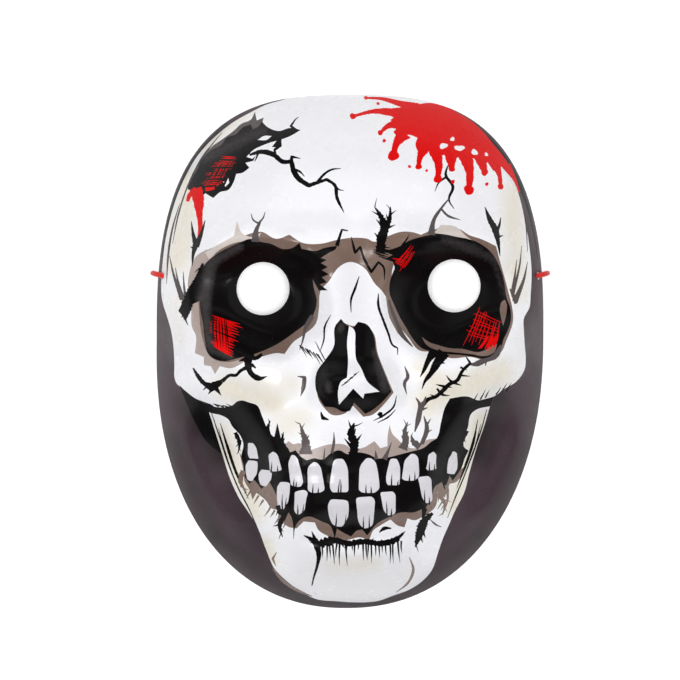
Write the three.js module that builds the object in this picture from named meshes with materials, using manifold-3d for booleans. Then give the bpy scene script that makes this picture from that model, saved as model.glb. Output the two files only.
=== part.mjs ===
// A skull face mask: a thin plastic shell formed over a mould, with two punched eye holes, and one
// elastic cord tied round the shell's edge through a small hole at each temple.
// Millimetres. X is to the right and Y towards the crown, seen from the front; Z points out of the face.
// The shell lies on its rim at Z = 0, and the origin is the middle of its width and length there.
import * as THREE from "three";
import { mergeVertices } from "three/addons/utils/BufferGeometryUtils.js";
import Module from "manifold-3d";

const wasm = await Module();
wasm.setup();

// Shell
const MASK_WIDTH = 159;
const MASK_LENGTH = 211;
const CHIN_TO_WIDEST = 108; // from the chin's edge up to the widest row
const TRIM_LEAN = { crown: 0.3, chin: 1.6 }; // how far the edge leans, to +X at the crown, -X at the chin
const DOME_DEPTH = 50; // the plain dome, before the face's relief
const WALL = 0.7;
const FACE_MIDDLE = 2.5; // the moulded face lies this far right of the middle of the trimmed edge

// Holes
const EYE_HOLE_DIAMETER = 21.6;
const CORD_HOLE_Y = 31; // the row of both cord holes
const EDGE_STRIP = 4.7; // from the rim up to the middle of a cord hole

// Cord
const CORD_DIAMETER = 2.2;
const CORD_HOLE_PLAY = 1; // how much wider than the cord its holes are
const LOOP_SLACK = 1.1; // between the rim and the loop of cord that passes under it
const LOOP_TURN = 15; // degrees that the loop's plane turns towards the crown as it leaves the hole
const KNOT_DIAMETER = 5.2;
const KNOT_ANGLE = 205; // degrees round the loop, from straight out, over the top
const TOUCH_GAP = 0.3; // between pieces that touch
const FLOOR_GAP = 0.35; // between the loop's lowest point and the surface under the mask

// The trimmed edge is two half superellipses of these powers that meet at the widest row.
const EDGE_POWERS = { crown: 2.88, chin: 2.2 };

// How squarely the dome turns down into its side walls, by the direction from its middle.
const SHOULDERS = [
  { place: "chin", degrees: -90, squareness: 3.2 },
  { place: "jaw", degrees: -42, squareness: 2.4 },
  { place: "temple", degrees: 12, squareness: 3.6 },
  { place: "crown", degrees: 90, squareness: 3.2 },
];
const WALL_SLOPE = 0.88; // power of the dome's profile: under 1, its wall ends upright

// The arch in the rim at each temple, which the loop passes under.
const ARCH_HALF_LENGTH = 34;

// Places on the face are shares: across, of half the width from the face's middle, and up, of half the
// length. The two eye holes aren't quite level.
const EYE_HOLES = [
  { across: -0.478, up: 0.243 },
  { across: 0.503, up: 0.254 },
];

// The face's relief. Each row lifts or sinks the dome along a line between two places. Reach is a share
// of half the width, and rise, at either end of the line, a share of the dome's depth. Flat is the
// share of the reach that moves in full.
const MIDDLE_RELIEF = [
  { name: "forehead", from: [-0.3, 0.6], to: [0.3, 0.6], reach: 0.62, rise: [0.06, 0.06], flat: 0.1 },
  { name: "nose_ridge", from: [0, 0.34], to: [0, -0.09], reach: 0.23, rise: [0.02, 0.2], flat: 0.08 },
  { name: "nose_wings", from: [-0.13, -0.14], to: [0.13, -0.14], reach: 0.17, rise: [0.1, 0.1], flat: 0.2 },
  { name: "muzzle", from: [-0.18, -0.46], to: [0.18, -0.46], reach: 0.44, rise: [0.12, 0.12], flat: 0.3 },
  { name: "lip_groove", from: [-0.14, -0.69], to: [0.14, -0.69], reach: 0.14, rise: [-0.05, -0.05], flat: 0 },
  { name: "chin", from: [-0.16, -0.86], to: [0.16, -0.86], reach: 0.28, rise: [0.08, 0.08], flat: 0.3 },
];
// These are made on both sides of the face.
const SIDE_RELIEF = [
  { name: "brow", from: [0.13, 0.42], to: [0.7, 0.41], reach: 0.19, rise: [0.09, 0.07], flat: 0.1 },
  { name: "temple", from: [0.86, 0.36], to: [0.84, 0.16], reach: 0.18, rise: [-0.05, -0.05], flat: 0 },
  { name: "socket", from: [0.52, 0.225], to: [0.45, 0.195], reach: 0.35, rise: [-0.24, -0.24], flat: 0.35 },
  { name: "cheekbone", from: [0.42, -0.1], to: [0.86, 0.06], reach: 0.2, rise: [0.08, 0.1], flat: 0.15 },
  { name: "hollow", from: [0.68, -0.32], to: [0.56, -0.5], reach: 0.22, rise: [-0.12, -0.09], flat: 0.2 },
];
const FADE_SHARES = { start: 0.84, end: 0.99 }; // of the way to the edge, where the relief fades out

// Mesh steps
const SECTORS = 84;
const RINGS = 27;
const RING_SPREAD = 0.94; // under 1, the rings stand a little closer together at the dome's middle
const NORMAL_STEP = 0.004; // share of the way to the edge over which the skin's slope is taken
const EYE_HOLE_SIDES = 44;
const CORD_HOLE_SIDES = 16;
const CORD_SIDES = 8;
const CORD_STEPS = 68;
const LOOP_STEPS = 22;
const KNOT_SIDES = 12;

const halfWidth = MASK_WIDTH / 2;
const halfLength = MASK_LENGTH / 2;
const widestY = CHIN_TO_WIDEST - halfLength;
const crownLength = MASK_LENGTH - CHIN_TO_WIDEST;
const cordRadius = CORD_DIAMETER / 2;
const loopHeight = EDGE_STRIP + LOOP_SLACK + cordRadius; // from the hole down to the loop's lowest place
const cordHoleDiameter = CORD_DIAMETER + CORD_HOLE_PLAY;
const archRise = FLOOR_GAP + CORD_DIAMETER + LOOP_SLACK;

const clamp = (value, low, high) => Math.min(high, Math.max(low, value));

// An S-shaped step from 0 to 1.
function smooth(t) {
  const c = clamp(t, 0, 1);
  return c * c * (3 - 2 * c);
}

// Share of the way from the dome's middle, 0, to the trimmed edge, 1. dx and dy are from that middle.
function edgeShare(dx, dy) {
  const power = dy > 0 ? EDGE_POWERS.crown : EDGE_POWERS.chin;
  const length = dy > 0 ? crownLength : CHIN_TO_WIDEST;
  return ((Math.abs(dx) / halfWidth) ** power + (Math.abs(dy) / length) ** power) ** (1 / power);
}

function leanAt(y) {
  const lean = y > widestY ? TRIM_LEAN.crown : TRIM_LEAN.chin;
  return (lean * (y - widestY)) / halfLength;
}

// Squareness of the dome's shoulder in a direction, eased between the table's rows.
function squarenessTowards(dx, dy) {
  const degrees = THREE.MathUtils.radToDeg(Math.atan2(dy, Math.abs(dx)));
  const next = Math.max(1, SHOULDERS.findIndex((row) => row.degrees >= degrees));
  const [low, high] = [SHOULDERS[next - 1], SHOULDERS[next]];
  const t = smooth((degrees - low.degrees) / (high.degrees - low.degrees));
  return low.squareness + (high.squareness - low.squareness) * t;
}

// Height of the rim: zero, but for the arch at each temple.
function rimHeight(y) {
  const t = clamp(Math.abs(y - CORD_HOLE_Y) / ARCH_HALF_LENGTH, 0, 1);
  return archRise * Math.cos((t * Math.PI) / 2) ** 2;
}

// Distance from a point to the line between two others, and how far along it the nearest place lies.
function nearestOnLine(point, from, to) {
  const along = to.clone().sub(from);
  const share = clamp(point.clone().sub(from).dot(along) / Math.max(along.lengthSq(), 1e-9), 0, 1);
  return { share, distance: point.distanceTo(from.clone().addScaledVector(along, share)) };
}

const facePlace = (across, up) =>
  new THREE.Vector2(FACE_MIDDLE + across * halfWidth, up * halfLength);

const reliefLine = (row, side) => ({
  ...row,
  from: facePlace(side * row.from[0], row.from[1]),
  to: facePlace(side * row.to[0], row.to[1]),
});
const reliefLines = [
  ...MIDDLE_RELIEF.map((row) => reliefLine(row, 1)),
  ...SIDE_RELIEF.flatMap((row) => [reliefLine(row, -1), reliefLine(row, 1)]),
];

// How far the relief lifts the dome at a place.
function reliefAt(x, y, share) {
  const point = new THREE.Vector2(x, y);
  let lift = 0;
  for (const { from, to, reach, rise, flat } of reliefLines) {
    const near = nearestOnLine(point, from, to);
    const far = near.distance / (reach * halfWidth); // 1 where the row's reach ends
    lift += (rise[0] + (rise[1] - rise[0]) * near.share) * smooth((1 - far) / (1 - flat));
  }
  const fade = smooth((FADE_SHARES.end - share) / (FADE_SHARES.end - FADE_SHARES.start));
  return lift * fade * DOME_DEPTH;
}

// Height of the plain dome, with no relief. dx and dy are from the dome's middle.
function domeHeight(dx, dy) {
  const rim = rimHeight(widestY + dy);
  const share = Math.min(edgeShare(dx, dy), 1);
  return rim + (DOME_DEPTH - rim) * (1 - share ** squarenessTowards(dx, dy)) ** WALL_SLOPE;
}

// A point on the shell's outer skin. Turn is in degrees round the dome; ring runs from 0, its middle, to 1.
function outerPoint(turn, ring) {
  const angle = THREE.MathUtils.degToRad(turn);
  const share = Math.sin((ring * Math.PI) / 2) ** RING_SPREAD;
  const radius = share / edgeShare(Math.cos(angle), Math.sin(angle));
  const [dx, dy] = [radius * Math.cos(angle), radius * Math.sin(angle)];
  const y = widestY + dy;
  const x = dx + leanAt(y);
  return new THREE.Vector3(x, y, domeHeight(dx, dy) + reliefAt(x, y, share));
}

// The point under it on the inner skin, one wall further in.
function innerPoint(turn, ring) {
  const low = Math.max(ring - NORMAL_STEP, NORMAL_STEP);
  const high = Math.min(low + 2 * NORMAL_STEP, 1);
  const outwards = outerPoint(turn, high).sub(outerPoint(turn, low));
  const around = outerPoint(turn + 0.5, high).sub(outerPoint(turn - 0.5, high));
  const normal = outwards.cross(around);
  if (ring === 1) normal.z = 0;
  if (ring === 0) normal.set(0, 0, 1);
  return outerPoint(turn, ring).addScaledVector(normal.normalize(), -WALL);
}

// One closed skin of quads: the outer rings from the middle out, then the inner ones back to it.
function shellBlank() {
  const positions = [];
  const faces = [];
  const addRing = (pointAt, ring) => {
    for (let sector = 0; sector < SECTORS; sector++)
      positions.push(...pointAt((360 * sector) / SECTORS, ring / RINGS).toArray());
  };
  positions.push(...outerPoint(0, 0).toArray(), ...innerPoint(0, 0).toArray());
  for (let ring = 1; ring <= RINGS; ring++) addRing(outerPoint, ring);
  for (let ring = RINGS; ring >= 1; ring--) addRing(innerPoint, ring);

  const corner = (row, sector) => 2 + row * SECTORS + (sector % SECTORS);
  const heightOf = (index) => positions[3 * index + 2];
  // A quad is split along the diagonal that lies closer to the true skin at its middle.
  const addQuad = (a, b, c, d, row, sector) => {
    const ring = row < RINGS ? row + 1.5 : 2 * RINGS - row - 0.5;
    const pointAt = row < RINGS ? outerPoint : innerPoint;
    const middle = pointAt((360 * (sector + 0.5)) / SECTORS, Math.min(ring / RINGS, 1)).z;
    const missAD = Math.abs((heightOf(a) + heightOf(d)) / 2 - middle);
    const missBC = Math.abs((heightOf(b) + heightOf(c)) / 2 - middle);
    if (missAD < missBC) faces.push(a, c, d, a, d, b);
    else faces.push(a, c, b, b, c, d);
  };
  const lastRow = 2 * RINGS - 1;
  for (let sector = 0; sector < SECTORS; sector++) {
    faces.push(0, corner(0, sector), corner(0, sector + 1));
    faces.push(1, corner(lastRow, sector + 1), corner(lastRow, sector));
    for (let row = 0; row < lastRow; row++)
      addQuad(
        corner(row, sector),
        corner(row, sector + 1),
        corner(row + 1, sector),
        corner(row + 1, sector + 1),
        row,
        sector,
      );
  }
  const geometry = new THREE.BufferGeometry();
  geometry.setAttribute("position", new THREE.Float32BufferAttribute(positions, 3));
  geometry.setIndex(faces);
  return geometry;
}

function solidOf(geometry) {
  const bare = geometry.clone();
  bare.deleteAttribute("normal");
  bare.deleteAttribute("uv");
  const merged = mergeVertices(bare, 1e-4);
  return new wasm.Manifold(
    new wasm.Mesh({
      numProp: 3,
      vertProperties: new Float32Array(merged.attributes.position.array),
      triVerts: new Uint32Array(merged.index.array),
    }),
  );
}

function geometryOf(solid) {
  const made = solid.getMesh();
  const geometry = new THREE.BufferGeometry();
  geometry.setAttribute("position", new THREE.BufferAttribute(made.vertProperties, 3));
  geometry.setIndex(new THREE.BufferAttribute(made.triVerts, 1));
  geometry.computeVertexNormals();
  return geometry;
}

// Where the middle of the side wall lies at a height, on the cord holes' row. Side is -1 or 1.
function wallMiddleAt(side, height) {
  const dy = CORD_HOLE_Y - widestY;
  let [inner, outer] = [halfWidth / 2, halfWidth];
  while (outer - inner > 1e-6) {
    const dx = (inner + outer) / 2;
    if (domeHeight(dx, dy) > height) inner = dx;
    else outer = dx;
  }
  return new THREE.Vector3(side * (inner - WALL / 2) + leanAt(CORD_HOLE_Y), CORD_HOLE_Y, height);
}

function cylinderAlong(diameter, length, axis, middle, sides) {
  const cylinder = new THREE.CylinderGeometry(diameter / 2, diameter / 2, length, sides);
  const turn = new THREE.Quaternion().setFromUnitVectors(new THREE.Vector3(0, 1, 0), axis);
  return cylinder.applyQuaternion(turn).translate(middle.x, middle.y, middle.z);
}

// One edge loop's places, on the left (-1) or right (1). The loop is a circle through the hole's middle,
// and its own middle lies halfway out from there to the rim.
function loopPlaces(side) {
  const hole = wallMiddleAt(side, archRise + EDGE_STRIP);
  const outset = Math.abs(wallMiddleAt(side, archRise).x - hole.x) / 2;
  const radius = (loopHeight ** 2 + outset ** 2) / (2 * loopHeight);
  const turn = THREE.MathUtils.degToRad(LOOP_TURN);
  const outwards = new THREE.Vector3(side * Math.cos(turn), Math.sin(turn), 0);
  const up = new THREE.Vector3(0, 0, 1);
  const middle = hole.clone().addScaledVector(outwards, outset).addScaledVector(up, radius - loopHeight);
  const at = (degrees) => {
    const angle = THREE.MathUtils.degToRad(degrees);
    return middle
      .clone()
      .addScaledVector(outwards, radius * Math.cos(angle))
      .addScaledVector(up, radius * Math.sin(angle));
  };
  return { hole, outwards, radius, at, knot: at(KNOT_ANGLE) };
}

function maskShell() {
  let shell = solidOf(shellBlank());
  const upright = new THREE.Vector3(0, 0, 1);
  for (const { across, up } of EYE_HOLES) {
    const { x, y } = facePlace(across, up);
    const middle = new THREE.Vector3(x, y, DOME_DEPTH / 2);
    shell = shell.subtract(
      solidOf(cylinderAlong(EYE_HOLE_DIAMETER, 2 * DOME_DEPTH, upright, middle, EYE_HOLE_SIDES)),
    );
  }
  for (const side of [-1, 1]) {
    const { hole } = loopPlaces(side);
    const sideways = new THREE.Vector3(side, 0, 0);
    shell = shell.subtract(
      solidOf(cylinderAlong(cordHoleDiameter, 2 * EDGE_STRIP, sideways, hole, CORD_HOLE_SIDES)),
    );
  }
  return geometryOf(shell);
}

// A length of round cord along a curve, with closed ends.
function cordAlong(curve, steps) {
  const section = new THREE.Shape();
  for (let side = 0; side < CORD_SIDES; side++) {
    const angle = (2 * Math.PI * side) / CORD_SIDES;
    const [x, y] = [cordRadius * Math.cos(angle), cordRadius * Math.sin(angle)];
    if (side === 0) section.moveTo(x, y);
    else section.lineTo(x, y);
  }
  return new THREE.ExtrudeGeometry(section, { steps, extrudePath: curve, curveSegments: 1 });
}

// The turn of cord through the hole and round the rim, open where the knot sits.
function edgeLoop(side) {
  const { at, radius } = loopPlaces(side);
  const reach = KNOT_DIAMETER / 2 + 2 * TOUCH_GAP;
  const halfOpening = THREE.MathUtils.radToDeg(2 * Math.asin(reach / (2 * radius)));
  const points = [];
  for (let step = 0; step <= LOOP_STEPS; step++)
    points.push(at(KNOT_ANGLE + halfOpening + ((360 - 2 * halfOpening) * step) / LOOP_STEPS));
  return cordAlong(new THREE.CatmullRomCurve3(points), LOOP_STEPS);
}

function knot(side) {
  const { knot: middle } = loopPlaces(side);
  return new THREE.SphereGeometry(KNOT_DIAMETER / 2, KNOT_SIDES, (2 * KNOT_SIDES) / 3)
    .translate(middle.x, middle.y, middle.z);
}

// The cord's free length, lying loose under the mask. Each point is chosen by hand, from the left
// knot to the right one; the ends follow the knots.
const CORD_REST = 1.2; // height of the cord's middle line where it lies on the surface
const CORD_START = 4.8; // from the knot's middle, straight in to where the route takes over
const CORD_ROUTE = [
  [-62.5, 25.5, 2.4],
  [-58.5, 20.0, 1.5],
  [-56.0, 12.0, CORD_REST],
  [-54.0, 0.0, CORD_REST],
  [-51.5, -12.0, CORD_REST],
  [-47.0, -24.0, CORD_REST],
  [-40.0, -35.0, CORD_REST],
  [-30.0, -43.5, CORD_REST],
  [-17.5, -49.0, CORD_REST],
  [-3.0, -51.0, CORD_REST],
  [12.0, -49.5, CORD_REST],
  [26.0, -44.5, CORD_REST],
  [38.0, -36.0, CORD_REST],
  [46.5, -25.0, CORD_REST],
  [52.0, -12.5, CORD_REST],
  [55.0, 0.0, CORD_REST],
  [57.0, 12.0, CORD_REST],
  [59.5, 20.0, 1.5],
  [63.5, 25.5, 2.4],
];

function elasticCord() {
  const start = (side) => {
    const { knot: middle, outwards } = loopPlaces(side);
    const inwards = outwards.clone().negate();
    return [KNOT_DIAMETER / 2 + TOUCH_GAP, CORD_START].map((reach) =>
      middle.clone().addScaledVector(inwards, reach),
    );
  };
  const [left, right] = [start(-1), start(1)];
  const points = [...left, ...CORD_ROUTE.map((place) => new THREE.Vector3(...place)), ...right.reverse()];
  return cordAlong(new THREE.CatmullRomCurve3(points), CORD_STEPS);
}

const mask = new THREE.Group();

function addPiece(name, geometry, material) {
  const mesh = new THREE.Mesh(geometry, material);
  mesh.name = name;
  mask.add(mesh);
}

const printedPlastic = new THREE.MeshStandardMaterial({ color: 0xe9e8ea, roughness: 0.3, metalness: 0 });
const redElastic = new THREE.MeshStandardMaterial({ color: 0xd2221c, roughness: 0.8, metalness: 0 });

addPiece("mask_shell", maskShell(), printedPlastic);
for (const [name, side] of [["left", -1], ["right", 1]]) {
  addPiece(name + "_edge_loop", edgeLoop(side), redElastic);
  addPiece(name + "_knot", knot(side), redElastic);
}
addPiece("elastic_cord", elasticCord(), redElastic);

export default mask;
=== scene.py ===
# A printed skull face mask of thin glossy plastic, with its red elastic cord, lying on a pale floor.
import math
import random

import bpy
import numpy as np
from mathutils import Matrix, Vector
from mathutils.geometry import delaunay_2d_cdt


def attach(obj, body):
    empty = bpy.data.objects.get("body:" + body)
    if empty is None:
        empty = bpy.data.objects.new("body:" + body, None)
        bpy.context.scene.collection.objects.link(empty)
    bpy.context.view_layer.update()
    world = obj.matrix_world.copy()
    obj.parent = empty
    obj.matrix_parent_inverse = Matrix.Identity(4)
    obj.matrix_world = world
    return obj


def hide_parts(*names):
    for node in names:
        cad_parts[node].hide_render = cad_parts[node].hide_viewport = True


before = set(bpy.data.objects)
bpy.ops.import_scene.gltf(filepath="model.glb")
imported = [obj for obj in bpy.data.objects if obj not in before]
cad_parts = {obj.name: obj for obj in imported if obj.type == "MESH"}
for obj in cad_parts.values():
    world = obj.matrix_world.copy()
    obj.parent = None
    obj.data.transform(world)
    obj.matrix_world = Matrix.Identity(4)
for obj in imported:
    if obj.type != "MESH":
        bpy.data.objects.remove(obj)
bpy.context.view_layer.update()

MM = 0.001  # the mould and the print are laid out in millimetres

# The camera looks straight down on the mask.
CAMERA_DISTANCE = 4.5
CAMERA_SENSOR = 36
VIEW_WIDTH = 0.2795  # what the square picture takes in, at the rim
VIEW_MIDDLE = (-0.0041, 0.0047)

bpy.ops.object.select_all(action="DESELECT")
bpy.ops.object.camera_add(location=(*VIEW_MIDDLE, CAMERA_DISTANCE), rotation=(0, 0, 0))
front_camera = bpy.context.object
front_camera.name = "front_camera"
front_camera.data.sensor_width = CAMERA_SENSOR
front_camera.data.lens = CAMERA_SENSOR * CAMERA_DISTANCE / VIEW_WIDTH
bpy.context.scene.camera = front_camera


# The mould. Its sizes are the frame's own.
MASK_WIDTH = 159
MASK_LENGTH = 211
CHIN_TO_WIDEST = 108
TRIM_LEAN = {"crown": 0.3, "chin": 1.6}
DOME_DEPTH = 50
WALL = 0.7
FACE_MIDDLE = 2.5
EYE_HOLE_DIAMETER = 21.6
CORD_HOLE_Y = 31
EDGE_STRIP = 4.7
CORD_DIAMETER = 2.2
CORD_HOLE_PLAY = 1
LOOP_SLACK = 1.1
LOOP_TURN = 15
KNOT_DIAMETER = 5.2
KNOT_ANGLE = 205
FLOOR_GAP = 0.35
EDGE_POWERS = {"crown": 2.88, "chin": 2.2}
SHOULDERS = [(-90, 3.2), (-42, 2.4), (12, 3.6), (90, 3.2)]
WALL_SLOPE = 0.88
ARCH_HALF_LENGTH = 34
EYE_HOLES = [(-0.478, 0.243), (0.503, 0.254)]
FADE_SHARES = (0.84, 0.99)

# Relief rows: from, to, reach, rise at either end and flat share, all as shares, as in the frame.
MIDDLE_RELIEF = {
    "forehead": ((-0.3, 0.6), (0.3, 0.6), 0.62, (0.06, 0.06), 0.1),
    "nose_ridge": ((0, 0.34), (0, -0.09), 0.23, (0.02, 0.2), 0.08),
    "nose_wings": ((-0.13, -0.14), (0.13, -0.14), 0.17, (0.1, 0.1), 0.2),
    "muzzle": ((-0.18, -0.46), (0.18, -0.46), 0.44, (0.12, 0.12), 0.3),
    "lip_groove": ((-0.14, -0.69), (0.14, -0.69), 0.14, (-0.05, -0.05), 0),
    "chin": ((-0.16, -0.86), (0.16, -0.86), 0.28, (0.08, 0.08), 0.3),
}
SIDE_RELIEF = {
    "brow": ((0.13, 0.42), (0.7, 0.41), 0.19, (0.09, 0.07), 0.1),
    "temple": ((0.86, 0.36), (0.84, 0.16), 0.18, (-0.05, -0.05), 0),
    "socket": ((0.52, 0.225), (0.45, 0.195), 0.35, (-0.24, -0.24), 0.35),
    "cheekbone": ((0.42, -0.1), (0.86, 0.06), 0.2, (0.08, 0.1), 0.15),
    "hollow": ((0.68, -0.32), (0.56, -0.5), 0.22, (-0.12, -0.09), 0.2),
}

half_width = MASK_WIDTH / 2
half_length = MASK_LENGTH / 2
widest_y = CHIN_TO_WIDEST - half_length
crown_length = MASK_LENGTH - CHIN_TO_WIDEST
cord_radius = CORD_DIAMETER / 2
loop_height = EDGE_STRIP + LOOP_SLACK + cord_radius
arch_rise = FLOOR_GAP + CORD_DIAMETER + LOOP_SLACK


def smooth(t):
    c = np.clip(t, 0, 1)
    return c * c * (3 - 2 * c)


def edge_share(dx, dy):
    """Share of the way from the dome's middle, 0, to the trimmed edge, 1."""
    above = np.asarray(dy) > 0
    power = np.where(above, EDGE_POWERS["crown"], EDGE_POWERS["chin"])
    length = np.where(above, crown_length, CHIN_TO_WIDEST)
    return ((np.abs(dx) / half_width) ** power + (np.abs(dy) / length) ** power) ** (1 / power)


def lean_at(y):
    return np.where(y > widest_y, TRIM_LEAN["crown"], TRIM_LEAN["chin"]) * (y - widest_y) / half_length


def squareness_towards(dx, dy):
    degrees = np.degrees(np.arctan2(dy, np.abs(dx)))
    value = SHOULDERS[0][1]
    for (low, before), (high, after) in zip(SHOULDERS, SHOULDERS[1:]):
        value = value + (after - before) * smooth((degrees - low) / (high - low))
    return value


def rim_height(y):
    t = np.clip(np.abs(y - CORD_HOLE_Y) / ARCH_HALF_LENGTH, 0, 1)
    return arch_rise * np.cos(t * math.pi / 2) ** 2


def dome_height(dx, dy):
    rim = rim_height(widest_y + dy)
    share = np.minimum(edge_share(dx, dy), 1)
    return rim + (DOME_DEPTH - rim) * (1 - share ** squareness_towards(dx, dy)) ** WALL_SLOPE


def ridge(x, y, start, end, reach, rises, flat):
    """Lift in millimetres at x, y of a soft ridge between two places."""
    ax, ay = end[0] - start[0], end[1] - start[1]
    along = np.clip(((x - start[0]) * ax + (y - start[1]) * ay) / max(ax * ax + ay * ay, 1e-9), 0, 1)
    distance = np.hypot(x - start[0] - along * ax, y - start[1] - along * ay)
    return (rises[0] + (rises[1] - rises[0]) * along) * smooth((1 - distance / reach) / (1 - flat))


def face_place(across, up):
    return FACE_MIDDLE + across * half_width, up * half_length


# The print is laid out on a grid of its own, whose rows are counted downwards.
PRINT_PITCH = 0.411  # millimetres in a grid step
PRINT_ZERO = (350, 351.5)  # the grid place over the middle of the mask


def on_mask(u, v):
    """A place of the print's grid, in millimetres on the mask."""
    return (u - PRINT_ZERO[0]) * PRINT_PITCH, (PRINT_ZERO[1] - v) * PRINT_PITCH


# Smaller forms than the frame's, in grid places: from, to, reach, rises in millimetres, flat share.
FINE_RELIEF = {
    "left_brow_edge": ((222, 247), (300, 240), 13, (0.9, 1.1), 0.1),
    "right_brow_edge": ((408, 236), (484, 240), 13, (1.1, 0.9), 0.1),
    "nose_left_wing": ((329, 378), (327, 390), 12, (0.8, 1.0), 0.1),
    "nose_right_wing": ((383, 372), (384, 386), 10, (0.5, 0.6), 0.1),
    "left_cheek_edge": ((186, 380), (236, 396), 12, (0.8, 1.0), 0.1),
    "right_cheek_edge": ((516, 372), (466, 392), 12, (0.8, 1.0), 0.1),
    "tooth_line": ((262, 474), (440, 472), 9, (-0.5, -0.5), 0.1),
    "chin_line": ((306, 540), (402, 538), 8, (-0.6, -0.6), 0.1),
}

# Teeth, in grid places: left, top, right, bottom, and how far the crown leans sideways.
UPPER_TEETH = [
    (248, 442, 258, 458, 1.5), (269, 451, 281, 470, 1.5), (289, 454, 302, 485, 2.0), (307, 461, 324, 491, 1.0),
    (330, 457, 349, 491, 0.0), (358, 457, 379, 491, 0.0), (386, 457, 400, 484, -0.5),
    (402, 453, 419, 479, -1.5), (426, 451, 436, 469, -1.0), (447, 451, 457, 473, -1.5),
]
LOWER_TEETH = [
    (246, 460, 258, 480, 1.0), (259, 469, 272, 485, 1.0), (277, 481, 290, 508, 1.5), (294, 489, 307, 513, 1.5),
    (328, 498, 349, 525, 0.0), (356, 495, 375, 527, -0.5), (381, 490, 396, 514, -1.5),
    (419, 475, 432, 502, -2.0),
]


# The low swelling under each printed tooth
TOOTH_RISE = 0.45  # millimetres
TOOTH_FLAT = 0.25
TOOTH_REACH = 0.75  # of the tooth's width
TOOTH_INSETS = (0.35, 0.6)  # of its height and of its reach, from its ends


def tooth_ridges():
    for left, top, right, bottom, lean in UPPER_TEETH + LOWER_TEETH:
        middle = (left + right) / 2
        reach = TOOTH_REACH * (right - left)
        inset = min(TOOTH_INSETS[0] * (bottom - top), reach * TOOTH_INSETS[1])
        start, end = (middle - lean / 2, top + inset), (middle + lean / 2, bottom - inset)
        yield start, end, reach, (TOOTH_RISE, TOOTH_RISE), TOOTH_FLAT


def relief_rows():
    rows = []
    for start, end, reach, rises, flat in MIDDLE_RELIEF.values():
        rises = [DOME_DEPTH * rise for rise in rises]
        rows.append((face_place(*start), face_place(*end), reach * half_width, rises, flat))
    for start, end, reach, rises, flat in SIDE_RELIEF.values():
        rises = [DOME_DEPTH * rise for rise in rises]
        for side in (-1, 1):
            ends = [face_place(side * across, up) for across, up in (start, end)]
            rows.append((*ends, reach * half_width, rises, flat))
    for start, end, reach, rises, flat in [*FINE_RELIEF.values(), *tooth_ridges()]:
        rows.append((on_mask(*start), on_mask(*end), reach * PRINT_PITCH, rises, flat))
    return rows


RELIEF = relief_rows()


def skin_height(x, y):
    """Height of the mask's outer skin over a place, in millimetres."""
    dx, dy = x - lean_at(y), y - widest_y
    share = edge_share(dx, dy)
    lift = 0
    for row in RELIEF:
        lift = lift + ridge(x, y, *row)
    start, end = FADE_SHARES
    return dome_height(dx, dy) + lift * smooth((end - share) / (end - start))


NEAR_EDGE = 0.99  # of the way out to the trimmed edge
EDGE_PULL = 0.994  # how far in from there a slope is taken
SLOPE_STEP = 0.05  # millimetres to either side


def skin_normals(x, y):
    """Unit normals of the outer skin. The slope at the trimmed edge is taken just inside it."""
    pull = np.where(edge_share(x - lean_at(y), y - widest_y) > NEAR_EDGE, EDGE_PULL, 1.0)
    x, y = x * pull, widest_y + (y - widest_y) * pull
    slope_x = (skin_height(x + SLOPE_STEP, y) - skin_height(x - SLOPE_STEP, y)) / (2 * SLOPE_STEP)
    slope_y = (skin_height(x, y + SLOPE_STEP) - skin_height(x, y - SLOPE_STEP)) / (2 * SLOPE_STEP)
    normals = np.stack([-slope_x, -slope_y, np.ones_like(slope_x)], axis=-1)
    return normals / np.linalg.norm(normals, axis=-1, keepdims=True)


# The elastic: a turn of cord through each temple hole and round the rim, its knot, and the free length.
CORD_REST = 1.2
CORD_START = 4.8
CORD_ROUTE = [
    (-62.5, 25.5, 2.4), (-58.5, 20.0, 1.5), (-56.0, 12.0, CORD_REST), (-54.0, 0.0, CORD_REST),
    (-51.5, -12.0, CORD_REST), (-47.0, -24.0, CORD_REST), (-40.0, -35.0, CORD_REST), (-30.0, -43.5, CORD_REST),
    (-17.5, -49.0, CORD_REST), (-3.0, -51.0, CORD_REST), (12.0, -49.5, CORD_REST), (26.0, -44.5, CORD_REST),
    (38.0, -36.0, CORD_REST), (46.5, -25.0, CORD_REST), (52.0, -12.5, CORD_REST), (55.0, 0.0, CORD_REST),
    (57.0, 12.0, CORD_REST), (59.5, 20.0, 1.5), (63.5, 25.5, 2.4),
]
CORD_SIDES = 16
BRAID_STRANDS = 8  # going each way round the cord
BRAID_LAY = 5.2  # length along the cord in which a strand goes once round
BRAID_RELIEF = 0.07  # share of the radius
FIRST_SIDE = (0.3, 0.2, 1.0)  # a direction that no cord starts in
LOOP_STEP = 4  # degrees between an edge loop's rings
FREE_STEP = 0.42  # millimetres between the free cord's rings
KNOT_STEP = 0.3  # and between a knot's
KNOT_STRAND = 0.783  # radius of the knot's pulled strand, as a share of the loose cord's
KNOT_POINTS = 60
KNOT_OPENING = 0.35  # radians that the knot's curve leaves open at either end
KNOT_HEIGHT = 0.92  # of its width
KNOT_DEPTH = 0.42  # of its size, in and out of the mask
KNOT_CORE = 1.2  # how deep in the knot the free cord starts
TAIL_WAY = (1.5, -2.2, 0.8)  # inwards, towards the chin and up
TAIL_STEPS = (0.315, 0.63, 0.945, 1.26)


def wall_reach(y, height, tolerance=1e-6):
    """How far out the dome's skin stands at a height of its side wall."""
    inner, outer = half_width / 2, half_width
    while outer - inner > tolerance:
        dx = (inner + outer) / 2
        if dome_height(dx, y - widest_y) > height:
            inner = dx
        else:
            outer = dx
    return inner


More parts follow.
